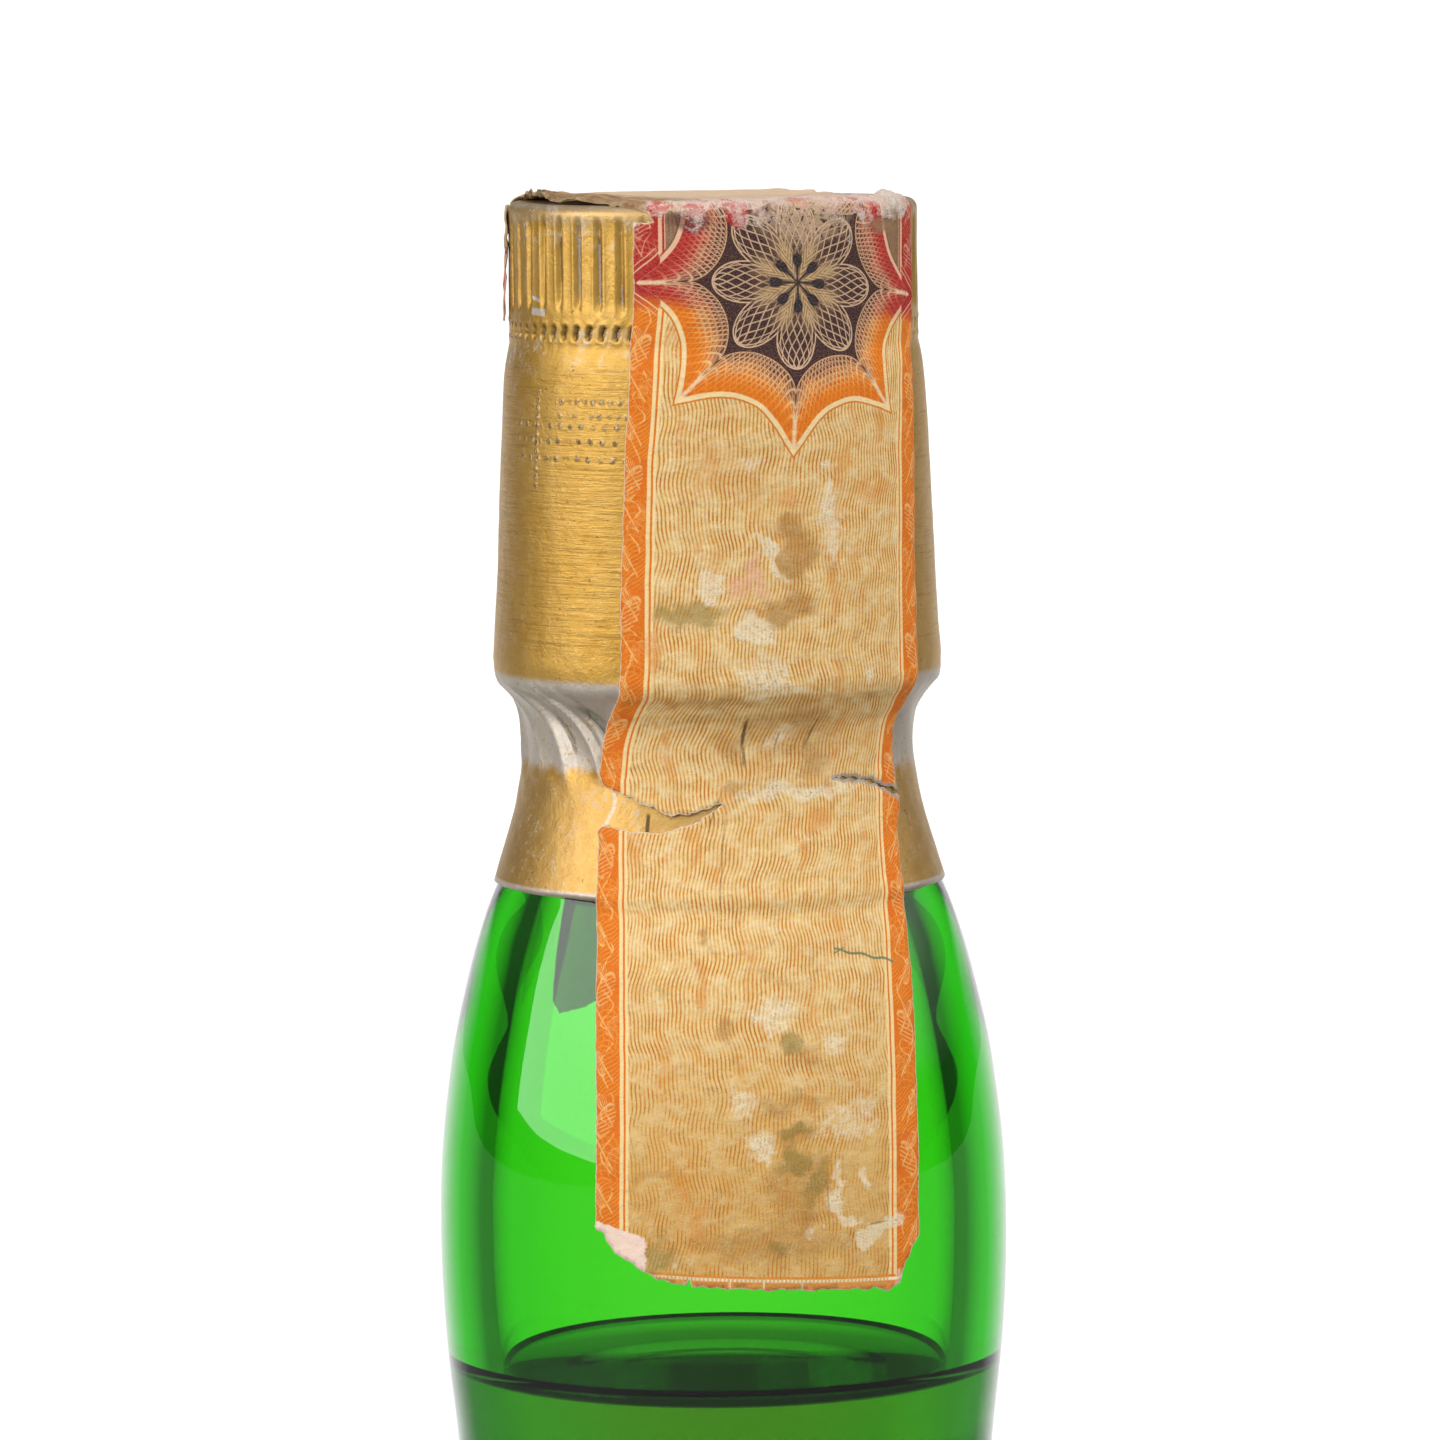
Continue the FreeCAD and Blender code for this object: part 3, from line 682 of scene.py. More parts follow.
def strip_mesh():
    loop = strip_outline()
    gs, gt = 0.38, 0.38
    ss = np.arange(-22.6, STRIP_HALF + 0.4, gs)
    tt = np.arange(0.0, T_END, gt)
    S, T = np.meshgrid(ss, tt)
    S = S + (np.arange(len(tt)) % 2)[:, None] * gs / 2
    pts = np.stack([S.ravel(), T.ravel()], 1)
    pts = pts[inside(loop, pts)]
    d = dist_to(loop, pts)
    pts = pts[d > 0.16]
    allp = [Vector((float(x), float(y))) for x, y in loop] + [Vector((float(x), float(y))) for x, y in pts]
    n = len(loop)
    edges = [(i, (i + 1) % n) for i in range(n)]
    co, _, tris, _, _, _ = delaunay_2d_cdt(allp, edges, [], 0, 1e-5)
    co = np.array([(v.x, v.y) for v in co])
    tris = np.array([f for f in tris if len(f) == 3])
    mid = co[tris].mean(1)
    tris = tris[inside(loop, mid)]
    used = np.unique(tris)
    remap = -np.ones(len(co), int)
    remap[used] = np.arange(len(used))
    co, tris = co[used], remap[tris]
    ed = dist_to(loop, co)
    top, bot, lifts = [], [], []
    for (s, t), e in zip(co, ed):
        u = s / STRIP_HALF
        h = lift_at(s, t, u)
        h += curl(s, t, e)
        thick = PAPER * min(1.0, 0.35 + e * 1.3)
        top.append(strip_point(s, t, h + thick))
        bot.append(strip_point(s, t, -0.13 if h < 0.12 else h - 0.02))
        lifts.append(h)
    # the scrap that hangs over the far left edge of the cap
    nu, nv, base = 5, 18, len(co)
    scrap, scrap_tris = [], []
    for j in range(nv):
        v = j / (nv - 1)
        half = (7.5 - 3.5 * v) * (0.75 + 0.9 * abs(fnoise(v * 7.0, 1.0, 131.0, 1.0)))
        for i in range(nu):
            u = i / (nu - 1) * 2 - 1
            a = math.radians(-91.0 + 2.5 * v + u * half)
            r = CAP_R + 0.08 + 0.26 * v + 0.16 * fnoise(u * 0.8, v * 8.0, 137.0, 1.0)
            z = 299.0 - v * 8.4 + 0.25 * fnoise(u * 2.0, v, 139.0, 1.0)
            top.append(((r + 0.10) * math.sin(a) * MM, -(r + 0.10) * math.cos(a) * MM, z * MM))
            bot.append((r * math.sin(a) * MM, -r * math.cos(a) * MM, z * MM))
            lifts.append(0.3)
            scrap.append((-12.2, T_FOLD + 2.0 + v) if v < 0.40 else (-11.0 + 0.5 * u, 79.4 - v * 2.0))
            if i < nu - 1 and j < nv - 1:
                k = base + j * nu + i
                scrap_tris += [(k + nu, k + nu + 1, k + 1), (k + nu, k + 1, k)]
    co = np.concatenate([co, np.array(scrap)])
    tris = np.concatenate([tris, np.array(scrap_tris)])
    ed = np.concatenate([ed, np.full(len(scrap), 0.4)])
    m = len(co)
    # boundary edges, for the rim between the two sides
    count = {}
    for a, b, c in tris:
        for e in ((a, b), (b, c), (c, a)):
            count[e] = count.get(e, 0) + 1
    rim = [e for e in count if (e[1], e[0]) not in count]
    faces = [(int(a), int(b), int(c)) for a, b, c in tris] + [(int(c) + m, int(b) + m, int(a) + m) for a, b, c in tris]
    faces += [(int(b), int(a), int(a) + m, int(b) + m) for a, b in rim]
    o = obj_from("paper_tax_strip", top + bot, faces)
    st = np.concatenate([co, co])
    vec_attr(o, "st", np.concatenate([st, np.concatenate([np.zeros(m), np.ones(m)])[:, None]], 1))
    float_attr(o, "edge", np.concatenate([ed, ed]))
    float_attr(o, "lift", lifts + lifts)
    wood = np.array([(fnoise(x, y, 301.0, 0.55) + 0.5 * fnoise(x, y, 307.0, 1.4), fnoise(x, y, 311.0, 0.55) + 0.5 * fnoise(x, y, 317.0, 1.4)) for x, y in co])
    sd, td = co[:, 0] + wood[:, 0] * 0.9, co[:, 1] + wood[:, 1] * 0.9
    layers = {k: np.zeros(m) for k in "bogpkd"}
    for kind, sc, tc, rs, rt, turn, k in STAINS_AND_CREASE_SHADE:
        c, sn = math.cos(math.radians(turn)), math.sin(math.radians(turn))
        us, ut = (co[:, 0], co[:, 1]) if kind == "d" else (sd, td)
        bx = ((us - sc) * c + (ut - tc) * sn) / rs
        by = ((ut - tc) * c - (us - sc) * sn) / rt
        v = np.clip((1.35 - np.hypot(bx, by)) / 0.7, 0, 1) * k
        layers[kind] = np.maximum(layers[kind], v)
    # pale and pink scuffs share one attribute with d, the painted shade along creases
    for name, kinds in (("stain", "bog"), ("scuffs_and_crease_shade", "pkd")):
        one = np.stack([layers[k] for k in kinds], 1)
        vec_attr(o, name, np.concatenate([one, one]))
    return o


def curl(s, t, e):
    """Loose torn edges stand up a little; the left of the top has come away and curls."""
    h = 0.0
    near_tear = math.exp(-((t - T_TEAR) / 1.6) ** 2)
    h += 0.28 * near_tear * math.exp(-e / 0.7) * (1.0 if s < 0 else 0.6)
    if T_FOLD - 2.0 < t < T_FOLD + TOP_LEN:
        on_top = min(1.0, max(0.0, (t - T_FOLD + 0.4) / 1.2))
        h += 0.22 * math.exp(-e / 1.6) * (0.6 + fnoise(s, t, 71.0, 0.35)) * on_top
        # fluffed fold
        fuzz = math.exp(-((t - T_FOLD - 0.3) / 0.9) ** 2) * min(1.0, max(0.0, (s + 12.0) / 1.0))
        h += fuzz * (0.10 + 0.30 * max(0.0, fnoise(s, t, 83.0, 1.1)) + 0.22 * max(0.0, fnoise(s, t, 91.0, 2.3)))
        h += 0.45 * math.exp(-((s - 9.6) / 1.5) ** 2) * math.exp(-((t - T_FOLD - 0.5) / 1.1) ** 2)
        # loose sheet on the left, rising away from the front edge
        away = min(1.0, max(0.0, (-s - 9.0) / 3.5)) * on_top
        rise = min(1.0, max(0.0, (t - T_FOLD - 0.2) / 7.0)) * min(1.0, max(0.0, (T_FOLD + TOP_LEN - 2.0 - t) / 6.0))
        h += away * rise * (0.42 + 0.22 * fnoise(s, t, 61.0, 0.3))
    if t < 4.5:
        h += 0.12 * math.exp(-e / 0.6)
    return max(0.0, h)


# stains, scuffs and painted crease shade: kind (b brown, o olive, g orange, p pale, k pink, d painted shade along a
# crease), across, along, half width, half height, turn, strength
STAINS_AND_CREASE_SHADE = (
    ("b", 0.33, 55.65, 1.25, 2.8, -6, 1.0), ("b", -0.6, 51.5, 2.0, 1.0, 8, 1.0), ("o", -7.4, 51.35, 2.9, 0.75, 2, 0.9), ("d", 1.35, 56.4, 0.22, 1.2, -15, 0.5),
    ("b", 1.2, 42.0, 4.2, 2.2, 0, 0.50), ("b", -6.4, 45.1, 5.0, 0.4, 0, 0.55), ("b", 3.5, 45.0, 4.5, 0.35, 0, 0.45), ("d", -2.05, 42.1, 0.15, 1.35, 7, 0.95), ("d", -1.75, 40.5, 0.12, 0.9, 12, 0.6),
    ("g", -7.94, 41.83, 0.25, 1.9, 26, 0.9), ("b", -3.0, 41.0, 1.2, 1.4, 0, 0.65), ("b", 1.64, 42.84, 1.5, 1.8, 0, 0.65), ("d", 3.0, 42.0, 0.15, 1.3, -12, 0.6),
    ("b", 3.6, 40.2, 1.1, 1.7, 0, 0.7), ("d", 0.4, 41.2, 0.1, 0.7, 0, 0.6), ("g", 7.0, 59.8, 1.9, 0.6, 0, 0.6), ("g", -6.6, 56.3, 0.8, 0.45, 60, 0.7),
    ("g", -9.8, 48.4, 0.6, 1.4, 0, 0.7), ("b", -2.1, 37.8, 0.8, 0.6, 0, 0.65), ("g", 4.3, 35.4, 0.9, 0.9, 0, 0.75), ("g", -5.0, 33.2, 0.28, 2.6, -14, 0.7),
    ("d", -2.9, 32.5, 0.09, 4.2, -3, 0.42), ("g", 3.0, 32.8, 0.2, 3.4, 0, 0.7), ("b", -4.0, 26.5, 0.28, 0.95, 6, 1.0), ("g", -1.6, 25.4, 0.7, 0.18, -18, 0.8),
    ("g", -4.5, 23.6, 0.6, 1.7, 20, 0.65), ("b", -2.9, 20.2, 0.4, 1.0, 0, 0.75), ("o", 1.93, 19.2, 0.7, 0.7, 0, 1.0), ("d", 1.9, 19.0, 0.3, 0.35, 0, 0.75),
    ("b", 3.0, 18.1, 0.9, 0.5, -30, 0.7), ("o", -6.9, 23.2, 0.7, 0.35, 0, 0.5), ("g", 7.1, 15.6, 1.6, 0.13, -32, 0.9), ("o", 2.0, 12.95, 0.8, 0.7, 0, 1.0),
    ("o", 3.15, 12.9, 0.55, 0.6, 0, 0.8), ("o", 2.1, 11.0, 0.75, 0.9, 0, 0.85), ("o", 1.5, 10.2, 0.8, 0.5, 0, 0.7), ("o", 3.9, 9.2, 1.0, 1.6, -8, 0.75),
    ("b", 3.0, 6.9, 0.7, 1.6, -6, 0.85), ("b", 0.4, 4.9, 5.2, 1.4, 0, 0.6), ("o", 0.95, 4.3, 1.3, 0.45, 0, 0.9), ("o", -7.5, 4.2, 1.3, 1.2, 0, 0.8),
    ("g", -4.7, 6.3, 0.7, 1.8, 0, 0.7), ("g", -5.6, 9.5, 0.35, 1.2, -30, 0.7), ("b", -8.2, 9.6, 2.5, 0.35, 8, 0.6), ("b", 2.0, 15.0, 3.0, 0.6, 0, 0.55),
    ("b", 0.5, 24.0, 2.0, 0.4, -20, 0.4), ("g", -9.0, 28.5, 1.0, 0.3, -30, 0.6), ("g", 6.3, 22.0, 0.9, 0.3, 35, 0.6), ("b", 5.0, 49.5, 0.5, 0.5, 0, 0.6),
    ("g", 4.2, 62.5, 0.5, 1.6, 0, 0.6), ("g", 3.0, 52.8, 0.5, 2.4, 0, 0.6), ("g", -0.6, 59.5, 1.3, 1.0, 0, 0.55), ("g", 8.0, 42.0, 0.8, 1.5, -25, 0.5),
    ("p", -6.1, 53.2, 1.15, 1.05, 20, 1.3), ("k", -3.7, 53.2, 0.8, 0.7, 20, 0.9), ("k", -2.8, 54.6, 0.75, 1.1, 25, 0.95), ("k", -2.3, 53.0, 0.7, 0.55, -20, 0.8), ("p", -1.45, 55.3, 0.36, 2.3, 33, 1.3), ("p", 2.9, 57.5, 0.7, 2.8, 0, 0.8),
    ("p", 2.7, 60.0, 0.6, 0.8, 0, 1.0), ("p", -2.36, 50.0, 1.5, 1.0, 0, 1.0), ("p", -2.0, 47.0, 2.1, 1.4, 0, 0.65), ("p", -1.0, 45.6, 3.0, 0.5, 0, 0.7),
    ("p", 6.6, 46.5, 0.7, 0.8, 0, 0.8), ("p", 0.5, 41.5, 1.1, 1.3, 0, 0.65), ("p", 3.5, 37.4, 4.0, 0.45, -3, 0.95), ("p", 0.5, 37.6, 2.2, 0.8, 0, 0.75),
    ("p", 0.4, 21.3, 2.2, 1.2, 0, 0.7), ("p", 4.9, 18.9, 1.1, 0.8, 0, 0.85), ("p", -1.5, 14.9, 1.3, 0.9, 0, 0.7), ("p", -0.4, 12.0, 1.3, 1.5, 0, 0.75),
    ("p", -0.3, 10.9, 0.8, 0.35, 0, 1.0), ("p", 6.4, 13.5, 2.8, 1.8, 0, 0.55), ("p", 5.3, 9.6, 0.25, 1.2, 0, 1.1), ("p", 5.2, 7.2, 0.55, 1.0, 0, 1.25),
    ("p", 6.4, 6.2, 1.2, 0.4, -8, 1.2), ("p", 8.6, 5.4, 1.1, 0.55, 15, 1.3), ("p", 7.2, 9.2, 0.5, 0.8, 0, 0.9), ("p", -5.9, 3.5, 0.2, 0.6, -12, 1.1),
    ("p", 3.4, 5.8, 0.5, 0.9, 0, 0.75), ("p", -2.6, 62.0, 1.1, 0.45, 0, 0.65), ("p", 2.2, 61.7, 0.9, 0.45, 0, 0.75), ("d", 8.6, 5.95, 0.9, 0.08, 8, 0.6),
    ("d", 7.9, 9.1, 0.2, 0.25, 40, 0.6), ("d", 4.65, 8.0, 0.08, 1.5, 4, 0.45), ("d", 5.8, 37.75, 0.8, 0.10, 0, 0.5),
    ("p", 9.3, 5.7, 1.7, 0.5, 10, 1.6), ("p", 7.6, 5.2, 1.0, 0.45, 15, 1.4), ("p", 5.7, 6.4, 0.7, 0.4, -30, 1.4), ("p", 10.5, 1.8, 0.4, 0.8, -25, 1.5),
    ("b", 2.3, 8.6, 2.4, 2.6, 0, 0.6), ("b", 2.5, 12.7, 1.3, 1.0, 0, 0.75), ("b", 2.0, 10.6, 0.8, 1.4, 0, 0.7),
)
strip = strip_mesh()

# ------------------------------------------------------------------ materials, first pass
m, b, out_ = new_mat("green_glass")
b.inputs["Base Color"].default_value = (1, 1, 1, 1)
b.inputs["Roughness"].default_value = 0.0
b.inputs["IOR"].default_value = 1.52
b.inputs["Transmission Weight"].default_value = 1.0
va = E.tree.nodes.new("ShaderNodeVolumeAbsorption")
va.inputs["Color"].default_value = (0.37, 0.905, 0.03, 1)
va.inputs["Density"].default_value = 620.0
E.tree.links.new(va.outputs[0], out_.inputs["Volume"])
glass.data.materials.append(m)

m, b, out_ = new_mat("whisky_liquid")
b.inputs["Base Color"].default_value = (1, 1, 1, 1)
b.inputs["Roughness"].default_value = 0.0
b.inputs["IOR"].default_value = 1.36
b.inputs["Transmission Weight"].default_value = 1.0
va = E.tree.nodes.new("ShaderNodeVolumeAbsorption")
va.inputs["Color"].default_value = (0.99, 0.44, 0.0, 1)
va.inputs["Density"].default_value = 60.0
E.tree.links.new(va.outputs[0], out_.inputs["Volume"])
whisky.data.materials.append(m)

m, b, out_ = new_mat("gold_aluminium")
px_, py_, pz_ = separate(obj_coord())
gz = pz_ * 1000.0
gth = e_atan2(px_, -py_)                                # 0 at the front, grows to the right
arc_ = gth * 15.4
across = e_sqrt(px_ * px_ + py_ * py_) * 1000.0
body3 = combine(px_ * 1000.0, py_ * 1000.0, gz)
g_wide = tex_noise(body3, 0.16, 3.0)
g_mid = tex_noise(body3, 0.9, 4.0, 0.6)
g_fine = tex_noise(body3, 4.2, 3.0, 0.7)
g_spark = tex_noise(combine(px_ * 1000.0 + 90.0, py_ * 1000.0, gz), 7.5, 2.0, 0.8)
streak_n = tex_noise(combine(arc_ * 0.16, gz * 2.6, 3.0), 1.0, 4.0, 0.7)
wear_a = attribute("wear")
groove_shade_a = attribute("groove_shade")
# lacquer: warm gold, a little greener where it is thin
lac = mix(e_clamp(g_wide * 2.0 - 0.5), srgb(188, 141, 52), srgb(204, 163, 84))
lac = mix(e_clamp(g_mid * 2.4 - 0.95) * 0.55, lac, srgb(209, 169, 92))
lac = mix(e_clamp(0.95 - g_mid * 2.4) * 0.6, lac, srgb(159, 115, 39))
lac = mix(e_clamp(g_spark * 3.2 - 1.75) * 0.4, lac, srgb(220, 187, 118))
lac = mix(e_clamp(1.25 - g_spark * 3.4) * 0.45, lac, srgb(126, 93, 37))
# lower sleeve, pinker and paler
low_sleeve = e_less(gz, 257.6, 1.2)
lac = mix(low_sleeve * 0.42, lac, srgb(192, 154, 98))
lac = mix(low_sleeve * e_clamp(1.1 - g_mid * 2.0) * 0.45, lac, srgb(150, 112, 56))
silver = mix(g_mid, srgb(184, 172, 158), srgb(222, 211, 196))
band_edge = (g_mid - 0.5) * 1.1 + (g_wide - 0.5) * 1.6
band = e_step(gz + band_edge * 1.1, 258.1, 0.7) * e_less(gz + (g_mid - 0.5) * 0.4, 264.95, 0.45)
patch = e_step(g_mid * 0.6 + g_fine * 0.4, 0.60, 0.07) * band * e_less(gz, 262.6, 0.5)
shoulder = e_step(gz + (g_mid - 0.5) * 1.5, 298.05, 0.5)
rubs = e_step(g_mid * 0.5 + g_fine * 0.5, 0.565, 0.05) * (e_step(gz, 296.4, 1.2) * 0.8 + e_less(e_abs(gz - 289.0), 1.6, 0.8) * 0.6)
low_rub = e_step(g_mid * 0.45 + g_fine * 0.55, 0.60, 0.05) * e_less(e_abs(gz - 253.6), 4.0, 2.5)
left_rub = e_step(g_fine * 0.6 + g_mid * 0.4, 0.59, 0.06) * e_less(gth, -1.05, 0.3) * e_step(gz, 266.0, 1.0) * 0.7
hem_line = e_less(gz, 249.72, 0.16) * 0.9
top_bare = e_step(gz, 299.0, 0.15) * 0.6
bare = e_clamp(band * (1.0 - patch * 0.85) + shoulder * 0.22 + rubs * 0.8 + low_rub * 0.75 + left_rub * 0.6 + hem_line + top_bare * 0.5 + wear_a * 0.9)


def gold_dots(rows, step, size, a0, a1, shift):
    """Rows of small punched dots between two angles."""
    got = None
    for k, zr in enumerate(rows):
        u = e_ping(arc_ + shift + k * 0.17 + (g_mid - 0.5) * 0.5, step)
        v = (gz - zr + (g_wide - 0.5) * 0.7) * 1.0
        dd = e_sqrt(u * u + v * v)
        one = e_less(dd + (g_fine - 0.5) * 0.25, size, size * 1.3)
        got = one if got is None else e_max(got, one)
    return got * e_step(arc_, a0, 0.6) * e_less(arc_, a1, 0.6) * e_step(g_mid, 0.44, 0.12)


dots = gold_dots((283.45, 282.35, 281.05), 1.02, 0.17, -18.5, -6.4, 0.0)
dots2 = gold_dots((285.2, 284.2), 0.74, 0.18, -12.6, -6.2, 0.3) * e_step(g_fine, 0.42, 0.1)
ul = e_abs(arc_ + 14.9 + (g_mid - 0.5) * 0.3)
vdots = e_less(e_sqrt(ul * ul + e_ping(gz, 0.62) * e_ping(gz, 0.62)), 0.20, 0.18) * e_step(gz, 278.8, 0.4) * e_less(gz, 285.9, 0.4)
punched = e_max(e_max(dots, dots2 * 0.8), vdots * 0.8)
back_dots = gold_dots((283.45, 282.35, 281.05), 1.02, 0.26, 22.0, 48.0, 0.4) * 0.7
punched = e_max(punched, back_dots)
# bright scratch through the lacquer low on the knurls, and painted shade in the hollows
sx, sz = arc_ + 15.55, gz - 291.55
sl = e_less(e_abs(sz + sx * 0.05), 0.26, 0.12) * e_less(e_abs(sx), 0.95, 0.15)
sl2 = e_less(e_abs(sz - 0.85 + sx * 0.25), 0.14, 0.1) * e_less(e_abs(sx + 0.35), 0.6, 0.12)
scratch = e_max(sl, sl2)
bare = e_clamp(bare + scratch + punched * e_step(g_fine, 0.48, 0.1) * 0.7)
gcol = mix(bare, lac, silver)
stri_on = e_step(gz, 267.2, 1.5) * e_less(gz, 288.2, 1.5)
dark_line = e_less(streak_n, 0.40, 0.06) * stri_on
gcol = mix(dark_line * 0.30, gcol, srgb(115, 82, 30))
# painted shade: the knurl grooves, slits and deep fold darkened to brown
gcol = mix(e_clamp(groove_shade_a) * 0.85, gcol, srgb(59, 45, 25))
dots_rim = e_clamp(punched * e_less(g_fine, 0.5, 0.1))
gcol = mix(dots_rim * 0.85, gcol, srgb(94, 72, 37))
specks_g = e_step(tex_noise(combine(px_ * 1000.0, py_ * 1000.0 + 50.0, gz), 2.6, 2.0, 0.6), 0.71, 0.03)
gcol = mix(specks_g * 0.6, gcol, srgb(86, 66, 37))
seam = e_less(e_abs(gth + 0.349), 0.010, 0.008) * e_less(e_abs(gz - 254.0), 1.5, 0.3)
gcol = mix(seam * 0.85, gcol, srgb(62, 50, 38))
rolled = e_less(e_abs(gth + 0.556 - e_sin(gz * 1.6) * 0.02), 0.012, 0.010) * e_less(e_abs(gz - 255.5), 1.5, 0.3)
gcol = mix(rolled * 0.7, gcol, srgb(190, 180, 164))
put(gcol, b.inputs["Base Color"])
b.inputs["Metallic"].default_value = 0.9
put(bare * 0.10 + 0.45 + (g_fine - 0.5) * 0.18, b.inputs["Roughness"])
b.inputs["Coat Weight"].default_value = 0.12
b.inputs["Coat Roughness"].default_value = 0.22
ghei = (streak_n * stri_on * 0.9 + punched * 1.15 * e_step(g_fine, 0.36, 0.2) * 0.6 + g_mid * 0.55 + g_fine * 0.30 + bare * -0.12)
put(bump(ghei, 0.00013, 0.85), b.inputs["Normal"])
closure.data.materials.append(m)

# ------------------------------------------------------------------ paper and its print
CREAM, PALE, TAN = srgb(236, 200, 122), srgb(242, 221, 174), srgb(208, 134, 62)
ORANGE, RED, MAROON, DARK = srgb(230, 122, 14), srgb(172, 28, 32), srgb(72, 36, 38), srgb(52, 34, 38)
PINK, BROWN, OLIVE, INK = srgb(232, 166, 138), srgb(168, 112, 40), srgb(126, 110, 44), srgb(84, 116, 84)
SC, TC = -0.45, z_to_t(293.8)


def strip_material():
    m, b, out_ = new_mat("strip_paper")
    s0, t0, side = separate(attribute("st", True))
    flat = combine(s0, t0)
    wide = tex_noise(flat, 0.11, 2.0)
    na = tex_noise(flat, 0.33, 1.0, 0.4)
    nb = tex_noise(combine(s0 + 40.0, t0), 0.5, 1.0, 0.4)
    nc = tex_noise(flat, 2.2, 3.0, 0.65)
    nd = tex_noise(combine(s0 + 70.0, t0 + 20.0), 0.7, 4.0, 0.6)
    ne = tex_noise(combine(s0 - 30.0, t0 + 60.0), 0.7, 4.0, 0.6)
    fine = tex_noise(flat, 9.0, 2.0, 0.7)
    s = s0 + (na - 0.5) * 0.14
    t = t0 + (nb - 0.5) * 0.14

    # red above, orange below
    red_mix = e_step(t0 + s0 * 0.077 + (nb - 0.5) * 1.2, 72.9, 1.1) * e_less(t0, T_FOLD + TOP_LEN + 9.0, 4.0)
    warm = mix(red_mix, mix(nd, srgb(214, 96, 0), srgb(232, 124, 4)), mix(nd, srgb(150, 20, 28), srgb(192, 38, 38)))

    # fine lines that run along the strip and swing from side to side
    wob = e_sin(t * 0.66 + s * 0.12 + na * 1.2) * 0.22 + e_sin(t * 1.85 - s * 0.22 + nb * 1.6) * 0.09 + e_sin(t * 0.27 + 1.3 - s * 0.1) * 0.30
    d = e_ping(s + wob, 0.292)
    weight = e_clamp(na * 2.4 - 0.7)
    line = e_less(d + (fine - 0.5) * 0.06, 0.062, 0.05) * (0.72 + weight * 0.35)
    ground = mix(e_clamp(wide * 2.0 - 0.62), CREAM, srgb(234, 192, 110))
    ground = mix(e_clamp(nc * 2.6 - 1.05), ground, PALE)
    tan = mix(e_clamp(nd * 2.2 - 0.6), srgb(204, 126, 42), srgb(172, 96, 28))
    rub = e_clamp(ne * 3.6 - 1.62)
    panel = mix(e_clamp(line) * (1.0 - rub * 0.6), ground, tan)
    # streaks of stronger orange that lie along the lines, and rubbed pale places
    along = tex_noise(combine(s0 * 1.0 + wob * 1.0, t0 * 0.22, 5.0), 0.75, 3.0, 0.6)
    panel = mix(e_clamp(along * 4.6 - 2.45) * 0.62, panel, srgb(214, 134, 44))
    panel = mix(rub * e_clamp(0.2 + nc) * 0.75, panel, srgb(240, 220, 174))
    panel = mix(e_clamp(nd * 3.4 - 2.0) * 0.5 * (0.4 + nc), panel, srgb(184, 132, 62))
    panel = mix(e_clamp(wide * 3.0 - 1.55) * 0.35, panel, srgb(196, 142, 76))

    # border: orange ground with leaf outlines, netting, hatching and small thorns
    sb = s + 0.13
    a_s = e_abs(sb)
    right_side = e_step(sb, 0.0, 0.01)
    tt = t + right_side * 3.4
    cell = e_mod(tt, 9.4)
    out_in = a_s - 10.45                                     # 0 at the inner edge, about 1.9 at the outer
    swing_ = e_sin(tt * 0.83 + nb * 3.0)
    zone_a = e_less(cell, 3.1, 0.2)
    zone_c = e_step(cell, 6.1, 0.2)
    arch = out_in - 1.0
    rung = e_less(e_ping(tt + arch * arch * 0.55 + nb * 0.8, 0.46), 0.055, 0.06)
    rail = e_less(e_ping(out_in + e_sin(tt * 2.3) * 0.14 + nb * 0.5, 0.52), 0.05, 0.06)
    hatch = e_less(e_ping(tt + out_in * (0.75 + right_side * -1.5) + e_sin(out_in * 4.0) * 0.08, 0.33), 0.06, 0.06)
    leaf = None
    for cu, cv, ru, rv, turn in ((1.05, 4.3, 0.62, 1.30, 24), (1.35, 5.6, 0.42, 0.62, -30), (0.55, 1.7, 0.34, 0.75, 30), (1.5, 8.3, 0.36, 0.85, -12)):
        c, sn = math.cos(math.radians(turn)), math.sin(math.radians(turn))
        eu = ((out_in - cu) * c + (cell - cv) * sn + (nc - 0.5) * 0.22) / ru
        ev = ((cell - cv) * c - (out_in - cu) * sn) / rv
        q = e_sqrt(eu * eu + ev * ev)
        one = e_max(e_less(e_abs(q - 1.0), 0.09, 0.10) * e_step(eu + (nd - 0.5) * 2.0, -0.5, 0.3),
                    e_less(e_ping(eu * 0.7 + ev * 1.2, 0.40), 0.07, 0.09) * e_less(q, 1.0, 0.1) * 0.8)
        leaf = one if leaf is None else e_max(leaf, one)
    curl_l = e_less(e_abs(out_in - 0.95 - e_sin(tt * 1.9 + swing_) * 0.5), 0.06, 0.06) * e_step(nd, 0.47, 0.05)
    thorn = e_less(e_ping(tt - out_in * 1.6, 3.13), 0.11, 0.08) * e_step(out_in, 0.5, 0.1)
    faint = e_max(zone_a * e_max(rung, rail * 0.8), zone_c * hatch) * (0.25 + nc * 0.6)
    crisp = e_max(e_max(leaf * (1.0 - zone_a * 0.5), curl_l * 0.9), thorn * 0.9) * e_clamp(nc * 2.2 - 0.35)
    border = mix(e_clamp(faint) * 0.8, warm, mix(red_mix, srgb(240, 162, 60), srgb(222, 120, 92)))
    border = mix(e_clamp(crisp) * 0.72, border, mix(red_mix, srgb(248, 212, 136), srgb(240, 186, 146)))
    col = panel
    col = mix(e_step(a_s, 9.76, 0.05), col, mix(red_mix, srgb(242, 214, 152), srgb(232, 182, 146)))
    col = mix(e_step(a_s, 9.97, 0.05) * e_less(a_s, 10.13, 0.05), col, warm)
    col = mix(e_step(a_s, 10.42, 0.06), col, border)

